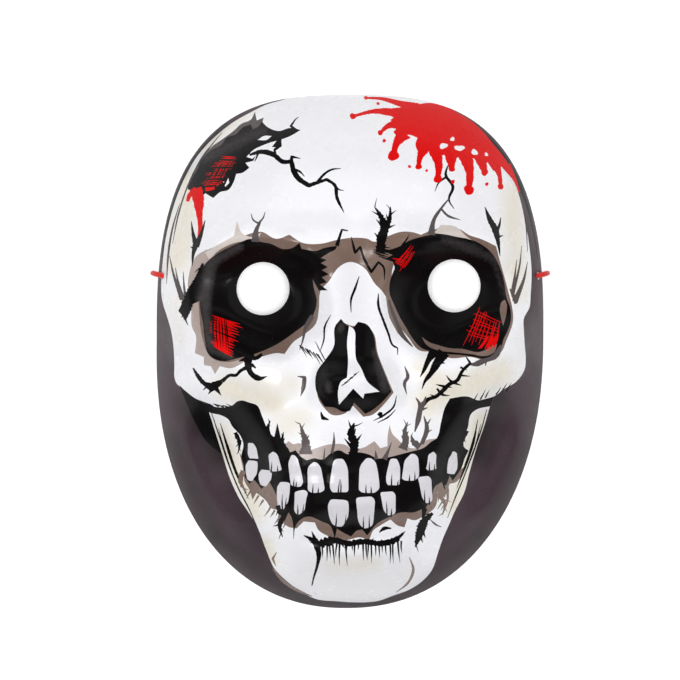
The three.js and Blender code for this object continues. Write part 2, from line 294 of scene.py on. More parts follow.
def wall_middle_at(side, height):
    """Where the middle of the side wall lies at a height, on the cord holes' row."""
    reach = wall_reach(CORD_HOLE_Y, height)
    return np.array([side * (reach - WALL / 2) + lean_at(CORD_HOLE_Y), CORD_HOLE_Y, height])


def edge_loop(side):
    """The way out of the mask at a temple, and a function from an angle to the loop's place there."""
    hole = wall_middle_at(side, arch_rise + EDGE_STRIP)
    outset = abs(wall_middle_at(side, arch_rise)[0] - hole[0]) / 2
    radius = (loop_height ** 2 + outset ** 2) / (2 * loop_height)
    turn = math.radians(LOOP_TURN)
    outwards = np.array([side * math.cos(turn), math.sin(turn), 0])
    up = np.array([0, 0, 1])
    middle = hole + outwards * outset + up * (radius - loop_height)

    def at(degrees):
        angle = math.radians(degrees)
        return middle + outwards * radius * math.cos(angle) + up * radius * math.sin(angle)

    return outwards, at


def blend(t, start, leave, end, reach, pull=1):
    """A smooth step from start to end, which leaves and reaches them in the given ways."""
    return (
        (2 * t ** 3 - 3 * t ** 2 + 1) * start + (t ** 3 - 2 * t ** 2 + t) * leave * pull
        + (3 * t ** 2 - 2 * t ** 3) * end + (t ** 3 - t ** 2) * reach * pull
    )


def through(points, spacing):
    """A smooth line through points, with a place about every spacing."""
    points = [np.array(point, float) for point in points]
    ends = [2 * points[0] - points[1], *points, 2 * points[-1] - points[-2]]
    line = []
    for before, start, end, after in zip(ends, ends[1:], ends[2:], ends[3:]):
        spans = (before, start), (start, end), (end, after)
        gaps = [max(np.linalg.norm(b - a) ** 0.5, 1e-4) for a, b in spans]
        leave = (start - before) / gaps[0] - (end - before) / (gaps[0] + gaps[1]) + (end - start) / gaps[1]
        reach = (end - start) / gaps[1] - (after - start) / (gaps[1] + gaps[2]) + (after - end) / gaps[2]
        leave, reach = leave * gaps[1], reach * gaps[1]
        steps = max(1, round(np.linalg.norm(end - start) / spacing))
        for t in np.arange(steps) / steps:
            line.append(blend(t, start, leave, end, reach))
    return np.array([*line, points[-1]])


def cord_directions(line, closed):
    """Two sideways directions at each ring of a cord, which twist no more than they must."""
    ahead = np.roll(line, -1, 0) if closed else np.vstack([line[1:], 2 * line[-1] - line[-2]])
    behind = np.roll(line, 1, 0) if closed else np.vstack([2 * line[0] - line[1], line[:-1]])
    tangents = ahead - behind
    tangents /= np.linalg.norm(tangents, axis=1, keepdims=True)
    side = np.cross(tangents[0], FIRST_SIDE)
    sides = []
    for tangent in tangents:
        side = side - tangent * np.dot(side, tangent)
        side /= np.linalg.norm(side)
        sides.append(side)
    sides = np.array(sides)
    if closed:
        # The twist that is left after one turn is shared out along the loop.
        first, last = sides[0], sides[-1] - tangents[0] * np.dot(sides[-1], tangents[0])
        left_over = math.atan2(np.dot(np.cross(last, first), tangents[0]), np.dot(last, first))
        turns = left_over * np.arange(len(line))[:, None] / len(line)
        sides = sides * np.cos(turns) + np.cross(tangents, sides) * np.sin(turns)
    return sides, np.cross(tangents, sides)


def tube_faces(rings, closed):
    """The faces of a tube of so many rings, with its ends closed unless it is a loop."""
    faces = []
    for ring in range(rings if closed else rings - 1):
        here, there = ring * CORD_SIDES, (ring + 1) % rings * CORD_SIDES
        for k in range(CORD_SIDES):
            turn = (k + 1) % CORD_SIDES
            faces.append((here + k, here + turn, there + turn, there + k))
    if not closed:
        faces.append(tuple(reversed(range(CORD_SIDES))))
        faces.append(tuple(range((rings - 1) * CORD_SIDES, rings * CORD_SIDES)))
    return faces


def braided_cord(name, line, radius, closed=False):
    """A tube of braided cord along a line, in millimetres. Its UV map runs round it and along it."""
    line = np.array(line, float)
    sides, uppers = cord_directions(line, closed)
    run = np.concatenate([[0], np.cumsum(np.linalg.norm(line[1:] - line[:-1], axis=1))])
    angles = 2 * math.pi * np.arange(CORD_SIDES) / CORD_SIDES
    across = angles[None, :] * BRAID_STRANDS / 2
    along = 2 * math.pi * run[:, None] / BRAID_LAY * BRAID_STRANDS / 4
    weave = np.abs(np.sin(across + along)) * np.abs(np.sin(across - along))
    reach = radius * (1 - BRAID_RELIEF + BRAID_RELIEF * weave)[:, :, None]
    skin = line[:, None] + reach * (
        np.cos(angles)[None, :, None] * sides[:, None] + np.sin(angles)[None, :, None] * uppers[:, None]
    )
    mesh = bpy.data.meshes.new(name)
    mesh.from_pydata((skin.reshape(-1, 3) * MM).tolist(), [], tube_faces(len(line), closed))
    around = mesh.uv_layers.new(name="around_and_along")
    for face in mesh.polygons:
        for loop in face.loop_indices:
            ring, k = divmod(mesh.loops[loop].vertex_index, CORD_SIDES)
            # A ring's last side runs on to 1 and not back to 0.
            last_side = k == 0 and face.loop_total == 4 and any(
                mesh.loops[i].vertex_index % CORD_SIDES == CORD_SIDES - 1 for i in face.loop_indices)
            u = 1.0 if last_side else k / CORD_SIDES
            around.data[loop].uv = (u, run[ring] / (2 * math.pi * radius))
    mesh.shade_smooth()
    cord = bpy.data.objects.new(name, mesh)
    bpy.context.scene.collection.objects.link(cord)
    return cord


def knot_line(middle, outwards, size):
    """The strand of a pulled-tight overhand knot."""
    sideways = np.array([-outwards[1], outwards[0], 0])
    up = np.array([0, 0, 1])
    turn = np.linspace(KNOT_OPENING, 2 * math.pi - KNOT_OPENING, KNOT_POINTS)
    across = (np.sin(turn) + 2 * np.sin(2 * turn)) * size / 3
    high = (np.cos(turn) - 2 * np.cos(2 * turn)) * size / 3
    deep = -np.sin(3 * turn) * size * KNOT_DEPTH
    return middle + across[:, None] * sideways + high[:, None] * up * KNOT_HEIGHT + deep[:, None] * outwards


def elastic():
    """All five pieces of the cord, along the frame's own route, and the free cord's line in millimetres."""
    pieces = {}
    starts = {}
    strand = cord_radius * KNOT_STRAND
    inwards, chinwards, upwards = TAIL_WAY
    for name, side in (("left", -1), ("right", 1)):
        outwards, at = edge_loop(side)
        knot = at(KNOT_ANGLE)
        turns = [at(KNOT_ANGLE + degrees) for degrees in np.arange(0, 360, LOOP_STEP)]
        pieces[name + "_loop"] = braided_cord(name + "_elastic_loop", turns, cord_radius, closed=True)
        tied = knot_line(knot, outwards, KNOT_DIAMETER / 2 - strand)
        tail = [tied[-1] + t * np.array([-side * inwards, chinwards, upwards]) for t in TAIL_STEPS]
        tied = through([*tied, *tail], KNOT_STEP)
        pieces[name + "_knot"] = braided_cord(name + "_elastic_knot", tied, strand)
        starts[name] = [knot - outwards * (KNOT_DIAMETER / 2 - KNOT_CORE), knot - outwards * CORD_START]
    line = through([*starts["left"], *CORD_ROUTE, *reversed(starts["right"])], FREE_STEP)
    pieces["free_cord"] = braided_cord("elastic_free_cord", line, cord_radius)
    return pieces, line


elastic_pieces, free_line = elastic()
for name in ("left", "right"):
    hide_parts(name + "_edge_loop")
    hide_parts(name + "_knot")
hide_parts("elastic_cord")
for piece in elastic_pieces.values():
    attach(piece, "root")

# The print, ink over ink
INKS = ["charcoal", "bone", "taupe", "fawn", "beige", "ash", "black", "red", "tooth"]
OUTLINE_STEP = 0.75  # millimetres between the points of a printed outline
SHARP_TURN = 48  # degrees past which a turn in an outline stays a corner
STROKE_STEPS = (0.6, 0.25)  # millimetres between a brushed line's points, and in a very short one
STROKE_POINTS = 4  # fewer than these make a line a very short one
STROKE_WAVES = ((3.1, 2.3), (1.3, -3.7))  # a brushed edge's waves, in radians a millimetre
STROKE_EDGE = 0.02  # half of the thinnest line
painted = []  # (ink, outline) in the order of printing


def outline(points, closed=True, step=OUTLINE_STEP):
    """Grid places to a drawn line in millimetres: gentle turns are rounded and sharp ones stay sharp."""
    places = np.array([on_mask(u, v) for u, v in points])
    count = len(places)
    spans = count if closed else count - 1
    ahead = np.roll(places, -1, 0) - places
    lengths = np.maximum(np.hypot(ahead[:, 0], ahead[:, 1]), 1e-6)
    ways = ahead / lengths[:, None]
    before = np.roll(ways, 1, 0)
    cosines = (ways * before).sum(1)
    blended = ways + before
    blended /= np.maximum(np.linalg.norm(blended, axis=1, keepdims=True), 1e-6)
    sharp = cosines < math.cos(math.radians(SHARP_TURN))
    if not closed:
        sharp[0] = sharp[-1] = True
    drawn = []
    for k in range(spans):
        nxt = (k + 1) % count
        leave = ways[k] if sharp[k] else blended[k]
        reach = ways[k] if sharp[nxt] else blended[nxt]
        steps = max(1, math.ceil(lengths[k] / step))
        t = (np.arange(steps) / steps)[:, None]
        drawn.append(blend(t, places[k], leave, places[nxt], reach, lengths[k]))
    if not closed:
        drawn.append(places[-1:])
    return np.vstack(drawn)


def fill(ink, points):
    painted.append((ink, outline(points)))


def stroke(ink, points, widths, rough=0.12):
    """A brushed line through grid places. Widths, in grid steps, are spread evenly along it."""
    line = outline(points, closed=False, step=STROKE_STEPS[0])
    if len(line) < STROKE_POINTS:
        line = outline(points, closed=False, step=STROKE_STEPS[1])
    share = np.concatenate([[0], np.cumsum(np.hypot(*(line[1:] - line[:-1]).T))])
    share /= share[-1]
    widths = np.interp(share, np.linspace(0, 1, len(widths)), widths) * PRINT_PITCH / 2
    long_wave, short_wave = [np.sin(line[:, 0] * a + line[:, 1] * b) for a, b in STROKE_WAVES]
    wobble = 1 + rough * long_wave * short_wave
    ways = np.gradient(line, axis=0)
    ways /= np.maximum(np.linalg.norm(ways, axis=1, keepdims=True), 1e-9)
    offset = np.stack([-ways[:, 1], ways[:, 0]], 1) * (widths * wobble + STROKE_EDGE)[:, None]
    painted.append((ink, np.vstack([line + offset, (line - offset)[::-1]])))


# How much the brushwork varies, in shares and in grid steps
SPIKE_PLACES = (0.15, 0.85)  # within a spike's own share of the row
SPIKE_LEAN = 0.12
SPIKE_BEND = 0.5
SPIKE_ROOT = 1.5  # how far behind the row a spike starts
BARB_PLACES = (0.25, 0.9)  # within a barb's own share of the line
BARB_LEANS = (0.6, 1.1)
BARB_LENGTHS = (0.5, 1.1)
BARB_FALL = 0.4  # how much shorter the last barb is
BARB_BEND = 0.8
THINNEST_BARB = 1.2
HATCH_PLAY = 0.2
HATCH_BOW = 0.04


def spikes(ink, start, end, count, lengths, way, width, seed):
    """Tapered spikes side by side from a line between two grid places, all pointing one way."""
    drawn = random.Random(seed)
    for k in range(count):
        share = (k + drawn.uniform(*SPIKE_PLACES)) / count
        u = start[0] + (end[0] - start[0]) * share
        v = start[1] + (end[1] - start[1]) * share
        length = drawn.uniform(*lengths)
        lean = drawn.uniform(-SPIKE_LEAN, SPIKE_LEAN)
        tip = (u + (way[0] - lean * way[1]) * length, v + (way[1] + lean * way[0]) * length)
        middle = ((u + tip[0]) / 2 + drawn.uniform(-SPIKE_BEND, SPIKE_BEND), (v + tip[1]) / 2)
        root = (u - way[0] * SPIKE_ROOT, v - way[1] * SPIKE_ROOT)
        stroke(ink, [root, middle, tip], (width, width * 0.7, 0.15))


def barbed(ink, points, widths, barbs, reach, seed):
    """A brushed line with side spikes, left and right by turns, that lean towards its end."""
    stroke(ink, points, widths, rough=0.3)
    drawn = random.Random(seed)
    line = outline(points, closed=False, step=0.3) / PRINT_PITCH
    for k in range(barbs):
        share = (k + drawn.uniform(*BARB_PLACES)) / barbs
        place = min(int(share * len(line)), len(line) - 2)
        u, v = PRINT_ZERO[0] + line[place][0], PRINT_ZERO[1] - line[place][1]
        along = line[place + 1] - line[place]
        along /= max(np.hypot(*along), 1e-9)
        side = drawn.uniform(*BARB_LEANS) * (1 if k % 2 else -1)
        way = (along[0] - side * along[1], -(along[1] + side * along[0]))
        length = reach * drawn.uniform(*BARB_LENGTHS) * (1 - BARB_FALL * share)
        width = max(THINNEST_BARB, 0.5 * np.interp(share, np.linspace(0, 1, len(widths)), widths))
        bend = (u + way[0] * length * 0.5, v + way[1] * length * 0.5 + drawn.uniform(-BARB_BEND, BARB_BEND))
        stroke(ink, [(u, v), bend, (u + way[0] * length, v + way[1] * length)], (width, width * 0.6, 0.2))


def hatching(ink, corners, count, width, seed, trim):
    """Side-by-side brush lines across a four-cornered patch, from its first side to its third."""
    drawn = random.Random(seed)
    a, b, c, d = [np.array(corner, float) for corner in corners]
    for k in range(count):
        share = (k + 0.5) / count + drawn.uniform(-HATCH_PLAY, HATCH_PLAY) / count
        start = a + (d - a) * share
        end = b + (c - b) * share
        first, last = drawn.uniform(0, trim), 1 - drawn.uniform(0, trim)
        start, end = start + (end - start) * first, start + (end - start) * last
        bow = np.array([-(end - start)[1], (end - start)[0]]) * drawn.uniform(-HATCH_BOW, HATCH_BOW)
        stroke(ink, [start, (start + end) / 2 + bow, end], (0.3, width, width * 0.85, 0.25))


BLOT_POINTS = 14


def blot(ink, u, v, size, seed, wobble=0.16, stretch=1.0):
    """A small irregular spot of ink."""
    drawn = random.Random(seed)
    phases = [drawn.uniform(0, 6.3) for _ in range(3)]
    points = []
    for k in range(BLOT_POINTS):
        angle = 2 * math.pi * k / BLOT_POINTS
        reach = size * (1 + wobble * math.sin(2 * angle + phases[0]) + wobble * math.sin(3 * angle + phases[1])
                        + wobble / 2 * math.sin(5 * angle + phases[2]))
        points.append((u + reach * math.cos(angle), v + reach * math.sin(angle) * stretch))
    fill(ink, points)


def drip(ink, points, widths, size):
    """A run of ink that ends in a drop."""
    stroke(ink, points, widths)
    blot(ink, *points[-1], size, points[-1][0], wobble=0.06)


TOOTH_POINTS = 28
TOOTH_SQUARENESS = {"root": 0.8, "edge": 0.42}
TOOTH_TAPER = (1.04, 0.26)  # its width at the biting edge, and how much of it the root loses
TOOTH_CHIPS = 0.35


def tooth(left, top, right, bottom, lean, root):
    """A tooth that narrows towards its root, which is up (-1) or down (1)."""
    middle, half = (left + right) / 2, (right - left) / 2
    centre, tall = (top + bottom) / 2, (bottom - top) / 2
    points = []
    for k in range(TOOTH_POINTS):
        angle = 2 * math.pi * k / TOOTH_POINTS
        c, s = math.cos(angle), math.sin(angle)
        square = TOOTH_SQUARENESS["root" if s * root > 0 else "edge"]
        across = math.copysign(abs(c) ** square, c)
        down = math.copysign(abs(s) ** square, s)
        narrow = TOOTH_TAPER[0] - TOOTH_TAPER[1] * (0.5 + 0.5 * down * root)
        chipped = TOOTH_CHIPS * math.sin(left + 5 * angle)
        u = middle + half * across * narrow - lean * down * root + chipped
        points.append((u, centre + tall * down + chipped))
    fill("tooth", points)


BAND_POINTS = 24  # along either side


def rim_band(start, end, inner, outer):
    """A band in grid places along the rim, between two bearings in degrees, tapered to its ends."""
    turn = np.radians(np.linspace(start, end, BAND_POINTS))
    swell = np.sin(np.linspace(0, math.pi, BAND_POINTS)) ** 0.5
    middle = (inner + outer) / 2
    sides = []
    for share in (inner, outer):
        reach = (middle + (share - middle) * swell) / edge_share(np.cos(turn), np.sin(turn))
        y = widest_y + reach * np.sin(turn)
        x = reach * np.cos(turn) + lean_at(y)
        sides.append(list(zip(PRINT_ZERO[0] + x / PRINT_PITCH, PRINT_ZERO[1] - y / PRINT_PITCH)))
    return sides[0] + sides[1][::-1]


# The skull's bone, from the crown round by the right
BONE = [
    (286, 99), (310, 90), (350, 86), (400, 88), (424, 96), (442, 104), (457, 113), (470, 122), (482, 133),
    (491, 144), (500, 155), (507, 165), (513, 176), (518, 189), (521, 202), (524, 216), (528, 240), (531, 270),
    (530, 296), (529, 307), (523, 319), (523, 331), (524, 346), (525, 359), (524, 369), (516, 381), (503, 389),
    (493, 396), (478, 400), (478, 403), (489, 406), (484, 424), (477, 444), (469, 471), (464, 491), (454, 511),
    (448, 525), (442, 539), (438, 551), (432, 569), (424, 579), (410, 589), (394, 595), (377, 601), (350, 602),
    (337, 601), (317, 599), (304, 593), (290, 583), (281, 575), (274, 567), (270, 558), (265, 545), (260, 531),
    (254, 519), (246, 507), (240, 498), (231, 479), (223, 454), (215, 429), (210, 413), (212, 404), (192, 396),
    (184, 389), (177, 383), (175, 377), (175, 365), (174, 345), (172, 332), (168, 318), (164, 306), (162, 297),
    (161.5, 284), (163, 262), (166, 238), (171, 215), (178, 194), (187, 174), (197, 157), (209, 143),
    (222, 131), (234, 122), (248, 114), (266, 105),
]
# Shadow tones round the sockets, the root of the nose and the mouth
NOSE_ROOT_SHADOW = [
    (197, 257), (210, 250), (226, 244), (242, 238), (262, 233), (277, 240), (290, 236), (303, 244), (320, 245),
    (338, 241), (352, 239), (367, 240), (374, 243), (386, 238), (401, 233), (414, 234), (424, 238), (404, 252),
    (393, 266), (391, 290), (391, 305), (386, 298), (381, 291), (375, 285), (363, 268), (350, 263), (339, 268),
    (329, 282), (321, 291), (319, 310), (316, 324), (304, 335), (294, 342), (285, 354), (278, 353), (261, 357),
    (247, 361), (232, 368), (221, 366), (216, 374), (212, 366), (205, 365), (205, 357), (196, 353), (197, 336),
    (193, 327), (192, 308), (189, 290), (189, 280),
]
RIGHT_SOCKET_SHADOW = [
    (414, 240), (430, 232), (446, 228), (458, 230), (468, 236), (480, 240), (495, 247), (499, 262), (504, 279),
    (508, 294), (511, 306), (512, 321), (505, 341), (500, 352), (486, 362), (470, 357), (450, 358), (432, 352),
    (418, 350), (408, 338), (396, 322), (388, 304), (390, 280), (398, 262),
]
BROW_GLOW = [
    (206, 253), (222, 244), (235, 237), (238, 222), (243, 234), (252, 238), (262, 234), (257, 243), (240, 243),
    (222, 250), (210, 260),
]
SOCKET_SIDE = [
    (197, 257), (208, 250), (216, 256), (205, 268), (199, 285), (200, 310), (204, 340), (212, 357), (228, 362),
    (247, 358), (247, 361), (232, 368), (221, 366), (216, 374), (212, 366), (205, 365), (205, 357), (196, 353),
    (197, 336), (193, 327), (192, 308), (189, 290), (189, 280),
]
RIGHT_BROW_GLOW = [(433, 234), (440, 226), (455, 228), (466, 238), (478, 245), (460, 240), (444, 236)]
UPPER_LIP_SHADOW = [
    (281, 448), (289, 440), (294, 443), (300, 442), (310, 449), (319, 446), (331, 443), (346, 444), (352, 449),
    (364, 446), (374, 440), (380, 447), (387, 445), (387, 436), (389, 424), (392, 433), (397, 438), (402, 443),
    (410, 447), (418, 447), (424, 440), (437, 438), (448, 441), (448, 470), (283, 470),
]
LOWER_LIP_SHADOW = [
    (240, 452), (244, 470), (245, 480), (250, 489), (253, 499), (257, 492), (266, 499), (272, 507), (279, 509),
    (284, 522), (290, 526), (297, 527), (304, 520), (315, 521), (319, 529), (329, 535), (340, 540), (350, 538),
    (360, 536), (369, 539), (373, 529), (380, 524), (390, 518), (397, 524), (404, 526), (407, 517), (414, 519),
    (421, 516), (428, 512), (435, 505), (437, 490), (444, 497), (449, 483), (456, 481), (465, 466), (455, 470),
    (260, 466), (248, 462),
]
NOSE_FOOT_SHADOW = [
    (319, 399), (326, 409), (332, 414), (344, 413), (353, 405), (363, 416), (372, 414), (384, 403), (393, 392),
    (385, 373), (377, 352), (374, 335), (367, 325), (352, 326), (342, 322), (336, 328), (335, 346), (327, 360),
    (318, 373), (317, 388),
]
# Sockets, nose opening and mouth
LEFT_SOCKET = [
    (262, 243), (272, 245), (283, 250), (293, 249), (300, 244), (302, 250), (316, 252), (325, 249), (337, 247),
    (336, 250), (329, 254), (321, 259), (327, 261), (321, 264), (328, 268), (322, 271), (329, 275), (322, 278),
    (327, 283), (320, 285), (328, 291), (319, 291), (313, 280), (314, 288), (317, 301), (314, 314), (308, 322),
    (294, 333), (278, 344), (258, 353), (239, 358), (226, 361), (216, 359), (209, 353), (206, 340), (204, 324),
    (201, 308), (200, 289), (201, 276), (205, 266), (216, 256), (233, 247), (242, 243), (251, 240),
]
LEFT_TEMPLE_MARK = [
    (204, 262), (202, 268), (198, 276), (194, 284), (188, 292), (184, 296), (182, 305), (179, 311), (183, 316),
    (186, 321), (189, 314), (192, 311), (191, 305), (197, 303), (202, 300), (201, 284),
]
RIGHT_SOCKET = [
    (421, 238), (430, 236), (439, 235), (456, 238), (467, 240), (478, 244), (490, 253), (498, 266), (503, 281),
    (506, 299), (509, 307), (510, 319), (507, 330), (502, 340), (500, 348), (494, 354), (486, 359), (474, 357),
    (460, 355), (447, 354), (434, 352), (421, 348), (413, 340), (405, 327), (399, 317), (394, 306), (389, 293),
    (390, 280), (394, 269), (392, 262), (384, 260), (392, 256), (382, 252), (392, 250), (400, 247), (408, 242),
]
SOCKET_CRESCENT = [
    (421, 337), (428, 342), (437, 345), (448, 348), (462, 349), (476, 352), (484, 350), (490, 346), (496, 344),
    (493, 352), (484, 356), (470, 354), (450, 352), (436, 350), (426, 345),
]
SOCKET_SLIVER = [(501, 302), (504, 300), (506, 305), (505, 316), (502, 326), (500, 318), (499, 309)]
NOSE_OPENING = [
    (341, 319), (335, 327), (334, 346), (326, 359), (317, 372), (316, 388), (321, 400), (325, 406), (335, 407),
    (343, 411), (350, 410), (354, 402), (365, 413), (371, 410), (382, 401), (391, 391), (384, 373), (376, 352),
    (373, 335), (367, 325), (358, 322), (353, 328), (346, 325),
]
NOSE_BONE = [
    (349, 326), (354, 330), (355, 345), (356, 359), (361, 368), (367, 381), (379, 391), (364, 393), (363, 398),
    (353, 388), (347, 395), (339, 404), (338, 392), (341, 381), (347, 377), (348, 360), (347, 343),
]
MOUTH = [
    (243, 400), (250, 402), (258, 405), (263, 416), (267, 426), (270, 421), (272, 434), (275, 436), (278, 422),
    (281, 435), (284, 448), (290, 451), (296, 449), (301, 455), (307, 459), (314, 457), (323, 458), (331, 452),
    (339, 449), (348, 453), (356, 451), (368, 453), (377, 457), (388, 456), (400, 453), (412, 450), (420, 448),
    (424, 446), (430, 441), (436, 437), (440, 422), (444, 407), (449, 398), (466, 396), (478, 400), (492, 397),
    (489, 406), (476, 409), (470, 414), (467, 427), (463, 438), (463, 447), (468, 450), (464, 458), (461, 467),
    (452, 480), (449, 475), (444, 489), (441, 481), (434, 486), (430, 499), (425, 507), (423, 518), (421, 508),
    (413, 511), (400, 511), (390, 515), (377, 522), (367, 534), (362, 528), (357, 529), (351, 535), (343, 531),
    (337, 527), (335, 537), (330, 524), (322, 520), (309, 515), (301, 518), (296, 525), (294, 539), (292, 516),
    (289, 511), (285, 520), (281, 509), (276, 492), (270, 481), (262, 488), (255, 479), (250, 483), (245, 475),
    (244, 464), (242, 456), (244, 444), (241, 435), (233, 426), (229, 419), (222, 415), (210, 412), (198, 404),
    (184, 389), (193, 396), (205, 403), (221, 407), (233, 405), (238, 401),
]
LEFT_JAW_SHADE = [
    (180, 385), (192, 396), (207, 406), (210, 413), (216, 432), (223, 454), (216, 449), (206, 440), (199, 428),
    (192, 414), (186, 400),
]


# The plain anatomy in the order of printing: ink, outline
SKULL_SHAPES = [
    # The two black bands along the rim at the crown's corners are painted shade.
    ("bone", BONE), ("black", rim_band(24, 68, 0.977, 0.991)), ("black", rim_band(120, 156, 0.983, 0.994)),
    ("black", LEFT_JAW_SHADE), ("taupe", NOSE_ROOT_SHADOW), ("taupe", RIGHT_SOCKET_SHADOW),
    ("fawn", SOCKET_SIDE), ("beige", BROW_GLOW), ("beige", RIGHT_BROW_GLOW), ("fawn", UPPER_LIP_SHADOW),
    ("taupe", LOWER_LIP_SHADOW), ("taupe", NOSE_FOOT_SHADOW), ("black", LEFT_SOCKET),
    ("black", LEFT_TEMPLE_MARK), ("black", RIGHT_SOCKET), ("taupe", SOCKET_CRESCENT), ("taupe", SOCKET_SLIVER),
    ("black", NOSE_OPENING), ("bone", NOSE_BONE), ("black", MOUTH),
]


def print_skull():
    for ink, shape in SKULL_SHAPES:
        fill(ink, shape)
    for teeth, root in ((UPPER_TEETH, -1), (LOWER_TEETH, 1)):
        for row in teeth:
            tooth(*row, root)


# Broken bone at the left of the forehead, with the blood that runs from it
FOREHEAD_BREAK = [
    (188, 190), (190, 181), (197, 171), (202, 160), (211, 151), (222, 145), (227, 138), (236, 135), (243, 128),
    (251, 125), (253, 130), (259, 127), (262, 122), (268, 128), (279, 132), (290, 129), (301, 131), (291, 137),
    (281, 141), (279, 149), (271, 148), (265, 154), (258, 153), (254, 162), (246, 164), (250, 169), (243, 174),
    (237, 175), (234, 184), (229, 191), (221, 193), (214, 199), (206, 194), (201, 199), (196, 192),
]
BREAK_DUST = [
    (190, 182), (196, 169), (202, 157), (212, 147), (222, 140), (233, 132), (242, 124), (251, 120), (255, 112),
    (257, 121), (264, 118), (262, 124), (250, 134), (236, 142), (222, 152), (208, 162), (199, 174), (194, 184),
]
BREAK_SLIVERS = [
    [(247, 158), (254, 151), (262, 147), (273, 143), (277, 142), (271, 149), (261, 153), (253, 160)],
    [(258, 141), (264, 137), (272, 137), (267, 141)],
    [(224, 183), (229, 179), (230, 184), (226, 188)],
]
BLOOD_SPLASH = [
    (402, 112), (411, 108), (421, 104), (431, 103), (440, 105), (449, 108), (458, 113), (471, 121), (483, 132),
    (492, 143), (501, 154), (508, 164), (515, 178), (505, 170), (498, 165), (493, 172), (487, 163), (480, 166),
    (473, 159), (466, 167), (458, 158), (450, 163), (443, 156), (434, 162), (428, 152), (419, 156), (415, 146),
    (417, 139), (408, 136), (399, 141), (393, 133), (400, 126), (390, 121),
]
# Each run: places, widths, size of the drop at its end
BLOOD_RUNS = [
    ([(408, 116), (392, 113), (374, 112), (353, 117)], (16, 8, 4, 2.6), 3.2),
    ([(418, 109), (400, 104), (382, 99), (366, 98)], (11, 6, 3.5, 2), 2.0),
    ([(402, 124), (388, 127), (380, 134)], (14, 6, 2.4), 2.6),
    ([(404, 134), (396, 145), (393, 157)], (15, 7, 4.5), 5.4),
    ([(424, 148), (419, 160), (418, 168)], (13, 6, 3.4), 3.2),
    ([(434, 150), (438, 166), (437, 180)], (14, 8, 5), 4.2),
    ([(450, 154), (451, 170)], (14, 5), 3.2),
    ([(465, 156), (469, 174), (468, 191)], (15, 8, 5.6), 5.0),
    ([(480, 158), (484, 173)], (13, 5), 3.6),
    ([(494, 162), (499, 176), (500, 187)], (12, 5, 3.4), 3.2),
    ([(506, 166), (514, 179), (519, 192)], (9, 4, 1), 0.8),
]
# Each drop: place, size
BLOOD_DROPS = [
    (384, 142, 1.8), (378, 104, 1.6), (409, 168, 1.6), (452, 183, 2.0), (486, 185, 1.8), (426, 172, 1.4),
]
# Each gap: place, size, height for width
SPLASH_GAPS = [
    (443, 147, 4.0, 0.7), (459, 149, 4.8, 0.6), (474, 153, 3.2, 0.9), (452, 140, 2.4, 0.8), (486, 155, 1.8, 1),
]

